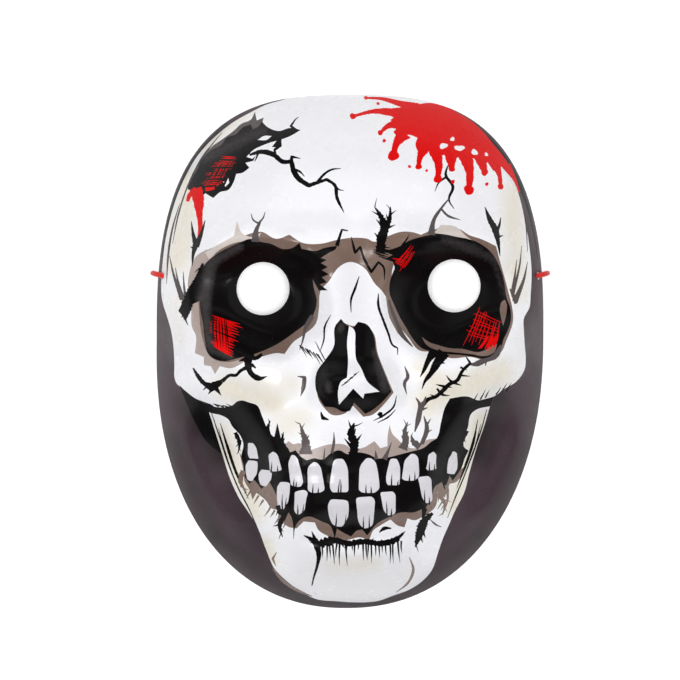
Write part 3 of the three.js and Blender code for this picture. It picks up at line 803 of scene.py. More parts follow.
# Brush lines: ink, grid places, widths
BRUSH_LINES = [
    # blood below the break, and the split bone it runs into
    ("red", [(196, 189), (199, 200), (200, 213), (201, 228), (198, 243)], (13, 11, 6, 4, 1)),
    ("red", [(197, 190), (190, 196), (188, 202)], (7, 5, 3)),
    ("red", [(206, 190), (214, 189), (219, 185)], (4, 3, 1)),
    ("black", [(192, 222), (194, 235), (197, 246)], (0.6, 3, 6)),
    ("black", [(206, 221), (202, 235), (197, 247)], (0.6, 3.5, 6)),
    ("black", [(197, 244), (194, 255), (193, 267)], (7, 3, 0.4)),
    ("black", [(196, 250), (191, 247)], (3, 0.3)),
    # thin lines inside the rim band
    ("charcoal", [(222, 133), (203, 157), (189, 184), (179, 214), (173, 244)], (0.4, 1.6, 1.4, 1.6, 0.4)),
    ("charcoal", [(180, 204), (173, 228), (169, 252), (167, 284)], (0.4, 1.8, 2, 0.4)),
    ("charcoal", [(508, 165), (518, 190), (525, 220), (527, 252)], (0.4, 1.8, 1.6, 0.4)),
    # the long crack over the forehead
    ("black", [(250, 156), (262, 153), (274, 156), (283, 163), (292, 163), (294, 172), (299, 180), (309, 187),
               (318, 184), (327, 181), (335, 187), (337, 199), (344, 214)],
     (2, 4.5, 5, 4.5, 4, 5.5, 5, 4, 3, 3, 3.4, 3, 0.5)),
    ("black", [(292, 164), (292, 158), (301, 160)], (4, 2.4, 0.5)),
    ("black", [(294, 171), (300, 173), (305, 178)], (3.5, 2, 0.5)),
    ("black", [(317, 185), (324, 176), (332, 171), (341, 170)], (3.4, 2.4, 2, 0.5)),
    ("black", [(334, 186), (339, 191), (344, 192)], (3, 1.6, 0.4)),
    ("black", [(296, 131), (291, 127), (297, 119), (299, 118)], (3, 2.2, 1.6, 0.4)),
    ("black", [(280, 138), (281, 147), (275, 151), (276, 157)], (3, 2.4, 2.6, 2)),
    ("black", [(259, 152), (257, 159), (255, 163)], (3, 1.6, 0.4)),
    ("black", [(229, 173), (226, 183), (221, 193)], (4, 2.2, 0.5)),
    ("black", [(216, 186), (217, 193)], (3, 0.5)),
    # over the left brow
    ("ash", [(256, 243), (257, 232), (261, 223)], (8, 4.5, 2)),
    ("ash", [(260, 225), (254, 221), (252, 215)], (2, 1.6, 0.5)),
    ("ash", [(260, 224), (264, 219), (266, 213)], (2, 1.5, 0.5)),
    # over the right brow
    ("black", [(449, 163), (445, 176), (452, 188), (448, 201), (453, 210)], (0.6, 2.6, 3, 2.2, 0.5)),
    ("black", [(446, 178), (438, 184), (434, 193)], (2.4, 1.6, 0.4)),
    ("ash", [(448, 200), (440, 210), (433, 221), (430, 236)], (1.2, 2.4, 4, 7)),
    ("ash", [(440, 210), (447, 217), (459, 221)], (2, 2.4, 0.5)),
    ("black", [(484, 208), (489, 221), (494, 230), (497, 243), (499, 257)], (0.6, 5, 7, 3.4, 0.4)),
    ("black", [(500, 218), (498, 227), (495, 233)], (0.5, 2.6, 4)),
    ("black", [(497, 238), (502, 236)], (3, 0.3)),
    # thorns and folds at the root of the nose
    ("black", [(351, 238), (355, 254), (360, 248), (364, 260), (371, 273), (378, 263), (383, 268), (384, 281)],
     (0.6, 2.6, 2.2, 2.4, 2.8, 2.2, 2, 0.5)),
    ("black", [(337, 247), (339, 240), (342, 231), (348, 232)], (4, 2.6, 2.2, 1)),
    ("black", [(359, 277), (355, 289), (351, 300), (351, 313)], (0.6, 2.4, 2, 0.5)),
    ("black", [(378, 294), (378, 306), (383, 321), (388, 334), (392, 345), (397, 348), (397, 355)],
     (0.8, 2.6, 2.2, 2.4, 2, 1.8, 0.4)),
    ("ash", [(388, 300), (393, 317), (401, 334), (412, 347)], (2, 5, 5, 1)),
    ("taupe", [(386, 298), (390, 316), (398, 334)], (1, 3, 1)),
    ("black", [(331, 315), (325, 327), (324, 340), (320, 352)], (0.5, 1.8, 1.4, 0.5)),
    ("ash", [(313, 316), (306, 328), (303, 341), (300, 350)], (5, 4, 1.8, 0.5)),
    # beside and below the nose
    ("ash", [(298, 376), (305, 377), (304, 386), (301, 396)], (0.5, 4, 4.5, 0.4)),
    ("ash", [(404, 366), (407, 377), (404, 382), (406, 394)], (0.5, 3.4, 3, 0.4)),
    ("black", [(321, 411), (323, 417), (329, 419)], (1, 4, 0.8)),
    ("black", [(373, 420), (384, 414), (393, 406), (396, 395)], (0.5, 2, 1.8, 0.5)),
    ("black", [(377, 422), (388, 416), (395, 409)], (0.5, 1.6, 0.5)),
    # left cheek
    ("black", [(251, 352), (249, 363), (252, 373), (260, 378), (268, 376)], (9, 8, 5, 5.5, 0.5)),
    ("black", [(249, 357), (257, 358), (263, 354)], (4, 4, 3)),
    ("black", [(246, 359), (240, 361)], (4, 1)),
    ("black", [(252, 364), (257, 368)], (4, 1)),
    ("black", [(248, 367), (241, 371), (237, 375), (231, 375), (223, 381)], (4, 3, 3, 3, 4)),
    ("black", [(194, 368), (199, 376), (205, 383), (213, 387), (223, 381)], (1.5, 4, 4.5, 9, 4)),
    ("black", [(209, 385), (204, 390)], (3, 0.4)),
    ("black", [(214, 388), (209, 394)], (4, 0.4)),
    ("black", [(217, 388), (222, 395)], (5, 0.4)),
    # right cheek
    ("black", [(434, 350), (427, 361), (423, 370), (419, 377)], (10, 6, 4, 0.5)),
    ("black", [(443, 352), (436, 363), (430, 373), (424, 381), (421, 389)], (12, 9, 6, 3.5, 0.5)),
    ("black", [(437, 362), (444, 363)], (5, 0.5)),
    ("ash", [(500, 345), (494, 356), (482, 361), (474, 364), (467, 364)], (2, 6, 4, 6, 1)),
    ("ash", [(485, 360), (484, 366)], (3, 0.4)),
    ("black", [(465, 357), (469, 363), (461, 371), (456, 380), (448, 384), (441, 391), (435, 396), (427, 399),
               (422, 404)], (1, 3, 3, 3.6, 3.6, 4.5, 3.6, 3.6, 5)),
    ("black", [(459, 367), (466, 370)], (2.4, 0.4)),
    ("black", [(458, 375), (469, 376)], (2.4, 0.4)),
    ("black", [(445, 375), (450, 381), (460, 385)], (0.5, 3, 0.5)),
    ("black", [(435, 384), (443, 386), (451, 387)], (0.5, 3, 0.5)),
    ("black", [(436, 388), (441, 394), (449, 395)], (2, 2.4, 0.4)),
    ("black", [(429, 394), (436, 397)], (0.5, 3)),
    ("ash", [(415, 397), (419, 404), (418, 416), (414, 431)], (0.6, 5, 5, 1)),
    ("ash", [(425, 396), (422, 405), (419, 410)], (1, 3.4, 4)),
    ("ash", [(427, 407), (421, 409)], (0.5, 3)),
    ("ash", [(423, 415), (426, 428), (421, 443)], (0.6, 5, 4)),
    ("ash", [(430, 418), (426, 424)], (0.5, 2.4)),
    ("ash", [(431, 429), (425, 432)], (0.5, 2.4)),
    # above the teeth
    ("ash", [(334, 431), (334, 441), (332, 452)], (0.5, 2.6, 3)),
    ("ash", [(325, 447), (324, 458)], (0.5, 2)),
    ("ash", [(384, 458), (388, 449), (391, 441)], (5, 2.4, 0.4)),
    ("ash", [(376, 458), (375, 449)], (4, 0.4)),
    # below the teeth
    ("black", [(424, 507), (422, 520)], (5, 2)),
    ("black", [(379, 531), (384, 527), (391, 527)], (1, 4, 1)),
    ("ash", [(429, 518), (436, 524), (441, 526)], (0.5, 2, 0.5)),
    ("taupe", [(438, 490), (442, 500), (437, 508)], (3, 2, 0.5)),
    ("taupe", [(446, 484), (447, 498), (443, 512)], (4, 2, 0.5)),
    ("taupe", [(409, 556), (413, 569), (408, 582), (396, 592)], (0.6, 3, 2.4, 0.5)),
    ("taupe", [(277, 551), (273, 558), (276, 565)], (0.5, 2.4, 0.5)),
    ("taupe", [(273, 568), (283, 580), (296, 589), (312, 596)], (1, 3.4, 3, 0.6)),
    # the line over the chin
    ("black", [(312, 530), (316, 540)], (0.5, 5)),
    ("black", [(316, 541), (319, 553), (317, 566), (314, 576), (312, 585)], (7, 5, 3, 2, 1)),
    # the jaw's edges
    ("black", [(212, 412), (221, 439), (230, 466), (240, 490), (249, 507), (258, 527)],
     (0.6, 1.3, 1.3, 1.3, 1.3, 0.5)),
    ("black", [(221, 423), (228, 446), (236, 470), (249, 498)], (0.5, 3, 2.6, 0.4)),
    ("black", [(219, 428), (227, 456), (236, 481)], (0.4, 1.4, 0.4)),
    ("black", [(486, 409), (480, 431), (472, 453), (463, 477), (455, 496), (447, 517)],
     (0.6, 1.3, 1.3, 1.3, 1.3, 0.5)),
    ("black", [(477, 419), (473, 440), (466, 462), (456, 488)], (0.5, 2.8, 2.4, 0.4)),
    ("black", [(480, 424), (474, 448), (465, 472)], (0.4, 1.4, 0.4)),
    # streaks behind the temples
    ("ash", [(170, 256), (174, 274), (183, 300)], (0.4, 2.6, 5)),
    ("ash", [(176, 268), (179, 283), (185, 302)], (0.4, 2.4, 4)),
    ("ash", [(184, 272), (185, 288), (187, 303)], (0.4, 2, 3)),
    ("ash", [(521, 246), (519, 265), (512, 294)], (0.4, 2, 3.4)),
    ("ash", [(516, 260), (514, 276), (511, 294)], (0.4, 2, 3)),
    ("ash", [(527, 262), (523, 280), (514, 302)], (0.4, 3, 6)),
    ("ash", [(509, 289), (513, 297), (515, 304)], (1, 4, 3)),
]

# Barbed lines: ink, grid places, widths, barbs, their reach
BARBED_LINES = [
    ("black", [(204, 264), (197, 284), (190, 300), (186, 320)], (3, 8, 11, 3), 10, 9),
    ("black", [(380, 254), (381, 240), (384, 229), (380, 217), (374, 208)], (8, 10, 8, 5, 0.6), 7, 12),
    ("black", [(384, 232), (389, 220), (390, 208)], (7, 5, 0.6), 4, 8),
    ("ash", [(306, 453), (306, 441), (303, 431), (300, 422)], (12, 8, 4, 0.5), 6, 8),
    ("black", [(353, 456), (354, 442), (351, 433), (354, 422)], (11, 8, 8, 1), 7, 11),
    ("ash", [(402, 448), (405, 440), (404, 431), (407, 421)], (10, 7, 4, 0.5), 6, 8),
    ("ash", [(419, 446), (413, 441), (410, 434)], (8, 5, 0.6), 3, 6),
    ("black", [(288, 452), (283, 441), (284, 431)], (6, 4, 0.5), 4, 5),
    ("black", [(270, 440), (268, 428), (271, 420)], (6, 4, 0.5), 4, 5),
    ("black", [(432, 512), (424, 520), (420, 530), (415, 546)], (3, 8, 7, 0.8), 8, 11),
    ("black", [(278, 504), (282, 516), (280, 526), (283, 536)], (4, 6, 4, 0.5), 5, 7),
    ("black", [(304, 534), (312, 538), (319, 543), (334, 539), (348, 542), (364, 540), (380, 542), (394, 539),
               (405, 530)], (0.6, 7, 9, 5, 6, 5, 6, 6, 0.5), 12, 6),
    ("taupe", [(437, 492), (444, 503), (442, 514)], (5, 3, 0.5), 5, 8),
    ("taupe", [(244, 470), (241, 480), (247, 492)], (5, 4, 0.5), 5, 7),
    ("black", [(236, 432), (240, 442), (239, 452)], (4, 4, 0.6), 5, 6),
    ("black", [(466, 430), (461, 442), (462, 452)], (4, 4, 0.6), 5, 6),
]


# Hatched patches: ink, corners, lines, their width, seed, and how much of a line may be trimmed at an end
BREAK_HATCHING = [
    ("red", [(200, 187), (224, 185), (243, 158), (216, 156)], 15, 1.0, 3, 0.25),
    ("black", [(202, 188), (217, 156), (243, 156), (226, 184)], 11, 1.1, 4, 0.18),
]
FACE_HATCHING = [
    # the left socket's outer corner
    ("red", [(209, 313), (245, 324), (234, 359), (212, 346)], 13, 2.7, 5, 0.14),
    ("black", [(211, 311), (212, 346), (232, 356), (228, 314)], 7, 1.3, 6, 0.18),
    # the right socket's lower edge
    ("red", [(500, 322), (492, 352), (460, 346), (478, 306)], 9, 1.0, 7, 0.2),
    ("red", [(474, 308), (502, 322), (496, 344), (462, 336)], 7, 0.8, 8, 0.18),
    ("red", [(499, 332), (493, 351), (474, 350), (486, 336)], 6, 2.2, 11, 0.15),
    # its inner corner
    ("red", [(393, 264), (411, 245), (416, 250), (400, 276)], 6, 0.9, 9, 0.3),
    ("red", [(390, 258), (408, 262), (406, 268), (394, 264)], 3, 1.2, 10, 0.18),
    ("black", [(368, 246), (396, 249), (394, 264), (374, 256)], 6, 1.6, 21, 0.3),
    ("black", [(398, 248), (408, 234), (414, 240), (402, 254)], 4, 1.2, 22, 0.3),
]
# Rows of spikes: ink, the row's ends, spikes, shortest and longest, the way they point, width, seed
SPIKE_ROWS = [
    ("black", (318, 545), (402, 541), 24, (5, 22), (0, 1), 2.0, 12),  # under the chin's line
    ("black", (300, 346), (320, 356), 8, (7, 15), (0.55, 0.83), 1.3, 13),  # left of the nose opening
    ("ash", (318, 347), (326, 361), 5, (5, 9), (-0.5, -0.86), 1.2, 14),
    ("black", (208, 405), (236, 407), 5, (5, 10), (-0.9, -0.35), 1.6, 15),  # the mouth's corners
    ("black", (470, 401), (512, 388), 6, (6, 12), (0.5, -0.85), 1.5, 16),
    ("black", (244, 436), (284, 446), 6, (4, 10), (0, -1), 2.2, 17),
    ("taupe", (250, 488), (290, 524), 7, (6, 12), (-0.5, 0.86), 2.2, 18),
    ("black", (341, 386), (357, 372), 5, (5, 9), (0.86, -0.5), 1.0, 19),  # across the nose's bone
]
# Cracks up the teeth: teeth, inset from the left, shortest, longest as a share of the tooth, lean
TOOTH_CRACKS = [(UPPER_TEETH[1:-1], 2, 5, 0.55, 0.03), (LOWER_TEETH[2:], 3, 6, 0.6, 0.06)]
CRACK_WIDTH = 1.6
NOSE_FOOT_SPOT = (380, 414, 2.8, 20)
BARB_SEED = 70
DROP_SEED = 30
GAP_SEED = 50


def print_marks():
    """Cracks, blood and brush hatching."""
    fill("ash", BREAK_DUST)
    fill("black", FOREHEAD_BREAK)
    for sliver in BREAK_SLIVERS:
        fill("bone", sliver)
    for patch in BREAK_HATCHING:
        hatching(*patch)
    for ink, points, widths in BRUSH_LINES:
        stroke(ink, points, widths)
    for number, line in enumerate(BARBED_LINES):
        barbed(*line, BARB_SEED + number)
    for patch in FACE_HATCHING:
        hatching(*patch)
    for row in SPIKE_ROWS:
        spikes(*row)
    for teeth, inset, shortest, longest, lean in TOOTH_CRACKS:
        for left, top, right, bottom, _ in teeth:
            ends = (left + inset, bottom), (right - 2, bottom)
            spikes("black", *ends, 2, (shortest, longest * (bottom - top)), (lean, -1), CRACK_WIDTH, left)
    blot("black", *NOSE_FOOT_SPOT)
    fill("red", BLOOD_SPLASH)
    for points, widths, size in BLOOD_RUNS:
        drip("red", points, widths, size)
    for number, (u, v, size) in enumerate(BLOOD_DROPS):
        blot("red", u, v, size, DROP_SEED + number, wobble=0.08)
    for number, (u, v, size, stretch) in enumerate(SPLASH_GAPS):
        blot("bone", u, v, size, GAP_SEED + number, 0.12, stretch)


print_skull()
print_marks()

# Soft tints: from, to, reach, strength, in grid places
CREAM_TINTS = [
    ((190, 182), (178, 262), 24, 1.0), ((512, 195), (516, 292), 20, 0.9), ((228, 388), (275, 402), 24, 1.0),
    ((222, 432), (256, 512), 18, 1.0), ((500, 372), (426, 402), 26, 1.0), ((480, 420), (452, 505), 17, 1.0),
    ((420, 370), (440, 384), 20, 0.8), ((286, 424), (300, 418), 22, 0.7), ((262, 376), (292, 384), 20, 0.6),
    ((330, 566), (372, 562), 16, 0.5), ((266, 540), (272, 560), 12, 0.8), ((178, 300), (182, 340), 14, 0.4),
    ((202, 150), (252, 108), 12, 0.7),
]
# Grey on the black ink: the print's dry brushing round the left socket, and painted sheen, reflections on the
# glossy black at the right socket's rim, the break's upper edge, the nose opening and the mouth.
DRY_BRUSH_AND_PAINTED_SHEEN_TINTS = [
    ((240, 248), (216, 261), 9, 0.9), ((211, 266), (205, 300), 12, 1.0), ((205, 300), (210, 344), 10, 1.0),
    ((213, 350), (232, 357), 7, 0.8), ((444, 240), (490, 258), 10, 0.6), ((494, 262), (504, 296), 7, 0.5),
    ((206, 158), (262, 132), 12, 0.7), ((376, 352), (384, 388), 9, 0.8), ((342, 326), (340, 330), 6, 0.8),
    ((328, 384), (329, 390), 7, 0.9), ((300, 480), (420, 478), 10, 0.2),
]
# Darker tones, mostly painted shade: over the cheek hollows, the nose bridge and the chin, along the lower rim
# and at the crown's corners. The soft grey above the teeth is the print's own airbrushing.
AIRBRUSH_AND_PAINTED_SHADE_TINTS = [
    ((196, 408), (220, 452), 30, 0.9), ((494, 400), (480, 452), 26, 0.8), ((232, 488), (262, 552), 18, 0.4),
    ((466, 114), (524, 188), 10, 1.0), ((186, 176), (226, 124), 6, 1.0), ((312, 452), (330, 450), 16, 0.4),
    ((384, 450), (412, 446), 16, 0.4), ((345, 612), (390, 604), 16, 0.6), ((350, 268), (352, 318), 26, 0.5),
    ((312, 568), (396, 566), 44, 0.5), ((336, 440), (372, 440), 26, 0.3),
    ((172, 440), (214, 534), 16, 0.5), ((216, 536), (300, 598), 15, 0.6), ((302, 602), (398, 604), 11, 0.6),
    ((402, 598), (482, 536), 15, 0.5), ((484, 534), (524, 446), 14, 0.4),
]


# Cutting the printed sheet to its outline
RIM_STEP = 1.5  # millimetres between the points of the trimmed edge
RIM_TRIES = 3600  # places that the edge's length is measured through
LATTICE = 1.55  # millimetres between the sheet's own points, away from its edge
LATTICE_ROW = 0.866  # from row to row, as a share of it
LATTICE_CLEAR = 0.012  # how far it keeps inside the first edge ring
EDGE_RINGS = (0.80, 0.835, 0.866, 0.894, 0.918, 0.939, 0.957, 0.972, 0.984, 0.993)
CORD_HOLE_SIDES = 18
EYE_HOLE_SIDES = 96
SAME_PLACE = 1e-4  # millimetres
POINTS_AT_ONCE = 3000


def rim_outline(share=1.0):
    """The trimmed edge, or a ring that share of the way out, with a point about every RIM_STEP."""
    turn = np.linspace(0, 2 * math.pi, RIM_TRIES, endpoint=False)
    reach = share / edge_share(np.cos(turn), np.sin(turn))
    dx, dy = reach * np.cos(turn), reach * np.sin(turn)
    y = widest_y + dy
    ring = np.stack([dx + lean_at(y), y], 1)
    run = np.concatenate([[0], np.cumsum(np.hypot(*(np.roll(ring, -1, 0) - ring).T))])
    places = np.linspace(0, run[-1], round(run[-1] / RIM_STEP), endpoint=False)
    ring = np.vstack([ring, ring[:1]])
    return np.stack([np.interp(places, run, ring[:, 0]), np.interp(places, run, ring[:, 1])], 1)


def cord_hole(side):
    """The outline of a temple hole, seen from the front, where the side wall is steep."""
    height = arch_rise + EDGE_STRIP
    reach = (CORD_DIAMETER + CORD_HOLE_PLAY) / 2
    drawn = []
    for k in range(CORD_HOLE_SIDES):
        angle = 2 * math.pi * k / CORD_HOLE_SIDES
        y, z = CORD_HOLE_Y + reach * math.cos(angle), height + reach * math.sin(angle)
        drawn.append((side * wall_reach(y, z, tolerance=1e-5) + lean_at(y), y))
    return np.array(drawn)


def eye_hole(across, up):
    x, y = face_place(across, up)
    turn = np.linspace(0, 2 * math.pi, EYE_HOLE_SIDES, endpoint=False)
    return np.stack([x + EYE_HOLE_DIAMETER / 2 * np.cos(turn), y + EYE_HOLE_DIAMETER / 2 * np.sin(turn)], 1)


def inside(points, loop):
    """Which points lie inside a closed line that may cross itself."""
    found = np.zeros(len(points), bool)
    low, high = loop.min(0), loop.max(0)
    near = np.flatnonzero(((points >= low) & (points <= high)).all(1))
    starts, ends = loop, np.roll(loop, -1, 0)
    for part in np.array_split(near, max(1, len(near) // POINTS_AT_ONCE)):
        px, py = points[part, 0][:, None], points[part, 1][:, None]
        sides = ends - starts
        turn = sides[:, 0] * (py - starts[:, 1]) - (px - starts[:, 0]) * sides[:, 1]
        rising = (starts[:, 1] <= py) & (ends[:, 1] > py) & (turn > 0)
        falling = (starts[:, 1] > py) & (ends[:, 1] <= py) & (turn < 0)
        found[part] = (rising.sum(1) - falling.sum(1)) != 0
    return found


def sheet_points(rim, holes):
    """The points that the sheet is made through, and the edges that it must follow."""
    points, edges = [], []

    def add_loop(loop):
        first = len(points)
        points.extend(loop.tolist())
        edges.extend((first + k, first + (k + 1) % len(loop)) for k in range(len(loop)))

    add_loop(rim)
    for loop in holes + [loop for _, loop in painted]:
        add_loop(loop)
    for share in EDGE_RINGS:
        points.extend(rim_outline(share).tolist())
    rows = int(MASK_LENGTH / LATTICE / LATTICE_ROW)
    for j in range(-rows // 2, rows // 2 + 1):
        x = np.arange(-half_width, half_width, LATTICE) + (j % 2) * LATTICE / 2
        y = np.full_like(x, j * LATTICE * LATTICE_ROW)
        keep = edge_share(x - lean_at(y), y - widest_y) < EDGE_RINGS[0] - LATTICE_CLEAR
        points.extend(np.stack([x, y], 1)[keep].tolist())
    return [Vector(point) for point in points], edges


def cut_sheet():
    """Flat points and triangles of the printed sheet, and the ink of each triangle."""
    rim = rim_outline()
    holes = [eye_hole(*place) for place in EYE_HOLES] + [cord_hole(-1), cord_hole(1)]
    found = delaunay_2d_cdt(*sheet_points(rim, holes), [], 0, SAME_PLACE, False)
    flat = np.array([tuple(point) for point in found[0]])
    triangles = np.array([tuple(face) for face in found[2]])
    a, b, c = flat[triangles[:, 0]], flat[triangles[:, 1]], flat[triangles[:, 2]]
    area = (b[:, 0] - a[:, 0]) * (c[:, 1] - a[:, 1]) - (c[:, 0] - a[:, 0]) * (b[:, 1] - a[:, 1])
    triangles[area < 0] = triangles[area < 0][:, ::-1]
    middles = (a + b + c) / 3
    kept = inside(middles, rim)
    for loop in holes:
        kept &= ~inside(middles, loop)
    triangles, middles = triangles[kept], middles[kept]
    inks = np.zeros(len(triangles), int)
    for ink, loop in painted:
        inks[inside(middles, loop)] = INKS.index(ink)
    used, triangles = np.unique(triangles, return_inverse=True)
    return flat[used], triangles.reshape(-1, 3), inks


def soft_tint(x, y, rows):
    tint = np.zeros_like(x)
    for start, end, reach, strength in rows:
        row = ridge(x, y, on_mask(*start), on_mask(*end), reach * PRINT_PITCH, (strength, strength), 0)
        tint = 1 - (1 - tint) * (1 - row)
    return tint


CUT_EDGE = 0.9995  # points this share of the way out lie on the trimmed edge
ON_HOLE = 0.01  # millimetres from an eye hole's edge
BAKE_MIDDLES = (0.25, 0.75)  # of the two skins' flat maps
BAKE_WIDTH = 2.06  # times the mask's length
BAKE_HEIGHT = 1.03


def inner_skin(outer, normals):
    """The skin one wall inside the outer one. The trimmed edge is cut level, and the eye holes upright."""
    x, y = outer[:, 0], outer[:, 1]
    inner = outer - normals * WALL
    at_rim = edge_share(x - lean_at(y), y - widest_y) > CUT_EDGE
    level = normals[at_rim] * (1, 1, 0)
    level /= np.linalg.norm(level, axis=1, keepdims=True)
    inner[at_rim] = outer[at_rim] - level * WALL
    for place in EYE_HOLES:
        hole_x, hole_y = face_place(*place)
        cut = np.abs(np.hypot(x - hole_x, y - hole_y) - EYE_HOLE_DIAMETER / 2) < ON_HOLE
        inner[cut] = outer[cut] - np.array([0, 0, WALL]) / normals[cut][:, 2:]
    return inner


def printed_shell():
    """The printed sheet, formed over the mould and given its wall."""
    flat, triangles, inks = cut_sheet()
    x, y = flat[:, 0], flat[:, 1]
    outer = np.stack([x, y, skin_height(x, y)], 1)
    normals = skin_normals(x, y)
    inner = inner_skin(outer, normals)
    count = len(outer)

    mesh = bpy.data.meshes.new("printed_shell")
    mesh.from_pydata((outer * MM).tolist(), [], triangles.tolist())
    mesh.polygons.foreach_set("material_index", inks.astype(np.int32))
    # The tints kept on the points: printed cream, painted shade with airbrushed grey, and dry brushing with
    # painted sheen.
    for name, rows in (("cream", CREAM_TINTS), ("airbrush_and_painted_shade", AIRBRUSH_AND_PAINTED_SHADE_TINTS), ("dry_brush_and_painted_sheen", DRY_BRUSH_AND_PAINTED_SHEEN_TINTS)):
        tint = mesh.attributes.new(name, "FLOAT", "POINT")
        tint.data.foreach_set("value", soft_tint(x, y, rows).astype(np.float32))
    shell = bpy.data.objects.new("printed_shell", mesh)
    bpy.context.scene.collection.objects.link(shell)
    for ink in INKS:
        mesh.materials.append(ink_material(ink))
    mesh.materials.append(plain_plastic())

    bpy.ops.object.select_all(action="DESELECT")
    shell.select_set(True)
    bpy.context.view_layer.objects.active = shell
    wall = shell.modifiers.new("wall", "SOLIDIFY")
    wall.thickness = WALL * MM
    wall.offset = -1
    wall.material_offset = len(INKS)
    wall.material_offset_rim = len(INKS)
    bpy.ops.object.modifier_apply(modifier=wall.name)

    # The two skins' points, which the modifier leaves in the same order, take their places on the mould.
    mesh = shell.data
    mesh.vertices.foreach_set("co", (np.vstack([outer, inner]) * MM).astype(np.float32).ravel())
    mesh.update()

    # Each skin is shaded by the mould's own slope, and the cut edges are flat.
    corner = np.zeros(len(mesh.loops), np.int32)
    mesh.loops.foreach_get("vertex_index", corner)
    totals = np.zeros(len(mesh.polygons), np.int32)
    mesh.polygons.foreach_get("loop_total", totals)
    facing = np.zeros(len(mesh.polygons) * 3, np.float32)
    mesh.polygons.foreach_get("normal", facing)
    facing = facing.reshape(-1, 3)
    face_of = np.repeat(np.arange(len(totals)), totals)
    inner_corners = np.bincount(face_of, corner >= count)
    skin = np.where(inner_corners == 0, 1, np.where(inner_corners == totals, -1, 0))[face_of]
    split = normals[corner % count] * skin[:, None]
    split[skin == 0] = facing[face_of[skin == 0]]
    mesh.polygons.foreach_set("use_smooth", np.ones(len(mesh.polygons), bool))
    mesh.normals_split_custom_set(split.tolist())

    # The outer skin's flat map lies left of the inner skin's, which also takes the cut edges.
    bake = mesh.uv_layers.new(name="OFBake")
    places = np.vstack([outer, inner])[corner]
    u = np.where(skin == 1, *BAKE_MIDDLES) + places[:, 0] / (BAKE_WIDTH * MASK_LENGTH)
    v = 0.5 + places[:, 1] / (BAKE_HEIGHT * MASK_LENGTH)
    bake.uv.foreach_set("vector", np.stack([u, v], 1).astype(np.float32).ravel())
    return shell


# Finishes
def from_screen(*values):
    """A colour as light values, from its red, green and blue on a screen."""
    return (*[((c / 255 + 0.055) / 1.055) ** 2.4 if c > 10 else c / 3294.6 for c in values], 1)


INK_COLOURS = {
    "charcoal": (66, 52, 59), "bone": (241, 241, 245), "taupe": (121, 100, 90), "fawn": (172, 156, 150),
    "beige": (206, 196, 190), "ash": (88, 80, 80), "black": (13, 11, 12), "red": (222, 14, 14),
    "tooth": (217, 214, 220),
}
CREAM = (231, 225, 211)
# The dark of the painted shade and of the airbrushed grey
AIRBRUSH_AND_SHADE_DARK = (20, 16, 18)
# The grey of the dry brushing and of the painted sheen on the black ink
DRY_BRUSH_AND_SHEEN_GREY = (66, 62, 63)
# How much of the painted shade and airbrushed grey each ink takes
INKS_TAKING_AIRBRUSH_AND_SHADE = {"charcoal": 0.85, "taupe": 0.22, "fawn": 0.22, "bone": 0.22, "beige": 0.22}
# Specular level and IOR of the inks that mirror less than the bare sheet
DULL_INKS = {"black": (0.22, 1.3), "ash": (0.35, 1.3), "red": (0.14, 1.3), "charcoal": (0.3, 1.38)}
EVEN_MOTTLE = (0.975, 1.01)
CHARCOAL_MOTTLE = (0.84, 1.16)
CLOUDING = (0.98, 1.01)
PLASTIC_ROUGHNESS = 0.25
CHARCOAL_ROUGHNESS = 0.38
PLASTIC_IOR = 1.5
PLAIN_WHITES = ((226, 226, 228), (238, 238, 238))
GAP_SHADE_AND_THREAD_REDS = ((150, 10, 8), (236, 34, 24))  # painted shade between the threads, and the threads' own red
FUZZ_RED = (242, 70, 52)
THREAD_LEAN = 0.72  # radians
FLOOR_WHITES = ((247, 247, 247), (250, 250, 250))
NOISE_SPAN = (0.3, 0.7)  # where nearly all values of a noise lie


class Nodes:
    """Short calls for building one material's nodes."""

    def __init__(self, name):
        self.material = bpy.data.materials.new(name)
        self.material.use_nodes = True
        self.tree = self.material.node_tree
        self.shader = self.tree.nodes["Principled BSDF"]

    def add(self, kind, inputs=(), **settings):
        node = self.tree.nodes.new(kind)
        for key, value in settings.items():
            setattr(node, key, value)
        for key, value in dict(inputs).items():
            if isinstance(value, bpy.types.NodeSocket):
                self.tree.links.new(value, node.inputs[key])
            else:
                node.inputs[key].default_value = value
        return node

    def object_place(self):
        return self.add("ShaderNodeTexCoord").outputs["Object"]

    def painted_tint(self, name):
        return self.add("ShaderNodeAttribute", attribute_name=name).outputs["Fac"]

    def calculate(self, operation, first, second, **settings):
        return self.add("ShaderNodeMath", {0: first, 1: second}, operation=operation, **settings).outputs[0]

    def noise(self, where, scale, detail=2.0, roughness=0.5):
        made = self.add("ShaderNodeTexNoise", {"Vector": where, "Scale": scale, "Detail": detail,
                                               "Roughness": roughness})
        return made.outputs["Fac"]

    def between(self, value, low, high, start=0.0, end=1.0):
        """The value's range from start to end, stretched to low to high."""
        made = self.add("ShaderNodeMapRange", {"Value": value, "From Min": start, "From Max": end,
                                               "To Min": low, "To Max": high})
        return made.outputs["Result"]

    def mix(self, share, first, second, blend="MIX"):
        made = self.add("ShaderNodeMix", data_type="RGBA", blend_type=blend)
        for key, value in ((0, share), (6, first), (7, second)):
            if isinstance(value, bpy.types.NodeSocket):
                self.tree.links.new(value, made.inputs[key])
            else:
                made.inputs[key].default_value = value
        return made.outputs[2]

    def bump(self, height, strength, distance, over=None):
        inputs = {"Height": height, "Strength": strength, "Distance": distance}
        if over is not None:
            inputs["Normal"] = over
        return self.add("ShaderNodeBump", inputs).outputs["Normal"]

    def link(self, value, socket):
        self.tree.links.new(value, self.shader.inputs[socket])

    def set(self, socket, value):
        self.shader.inputs[socket].default_value = value


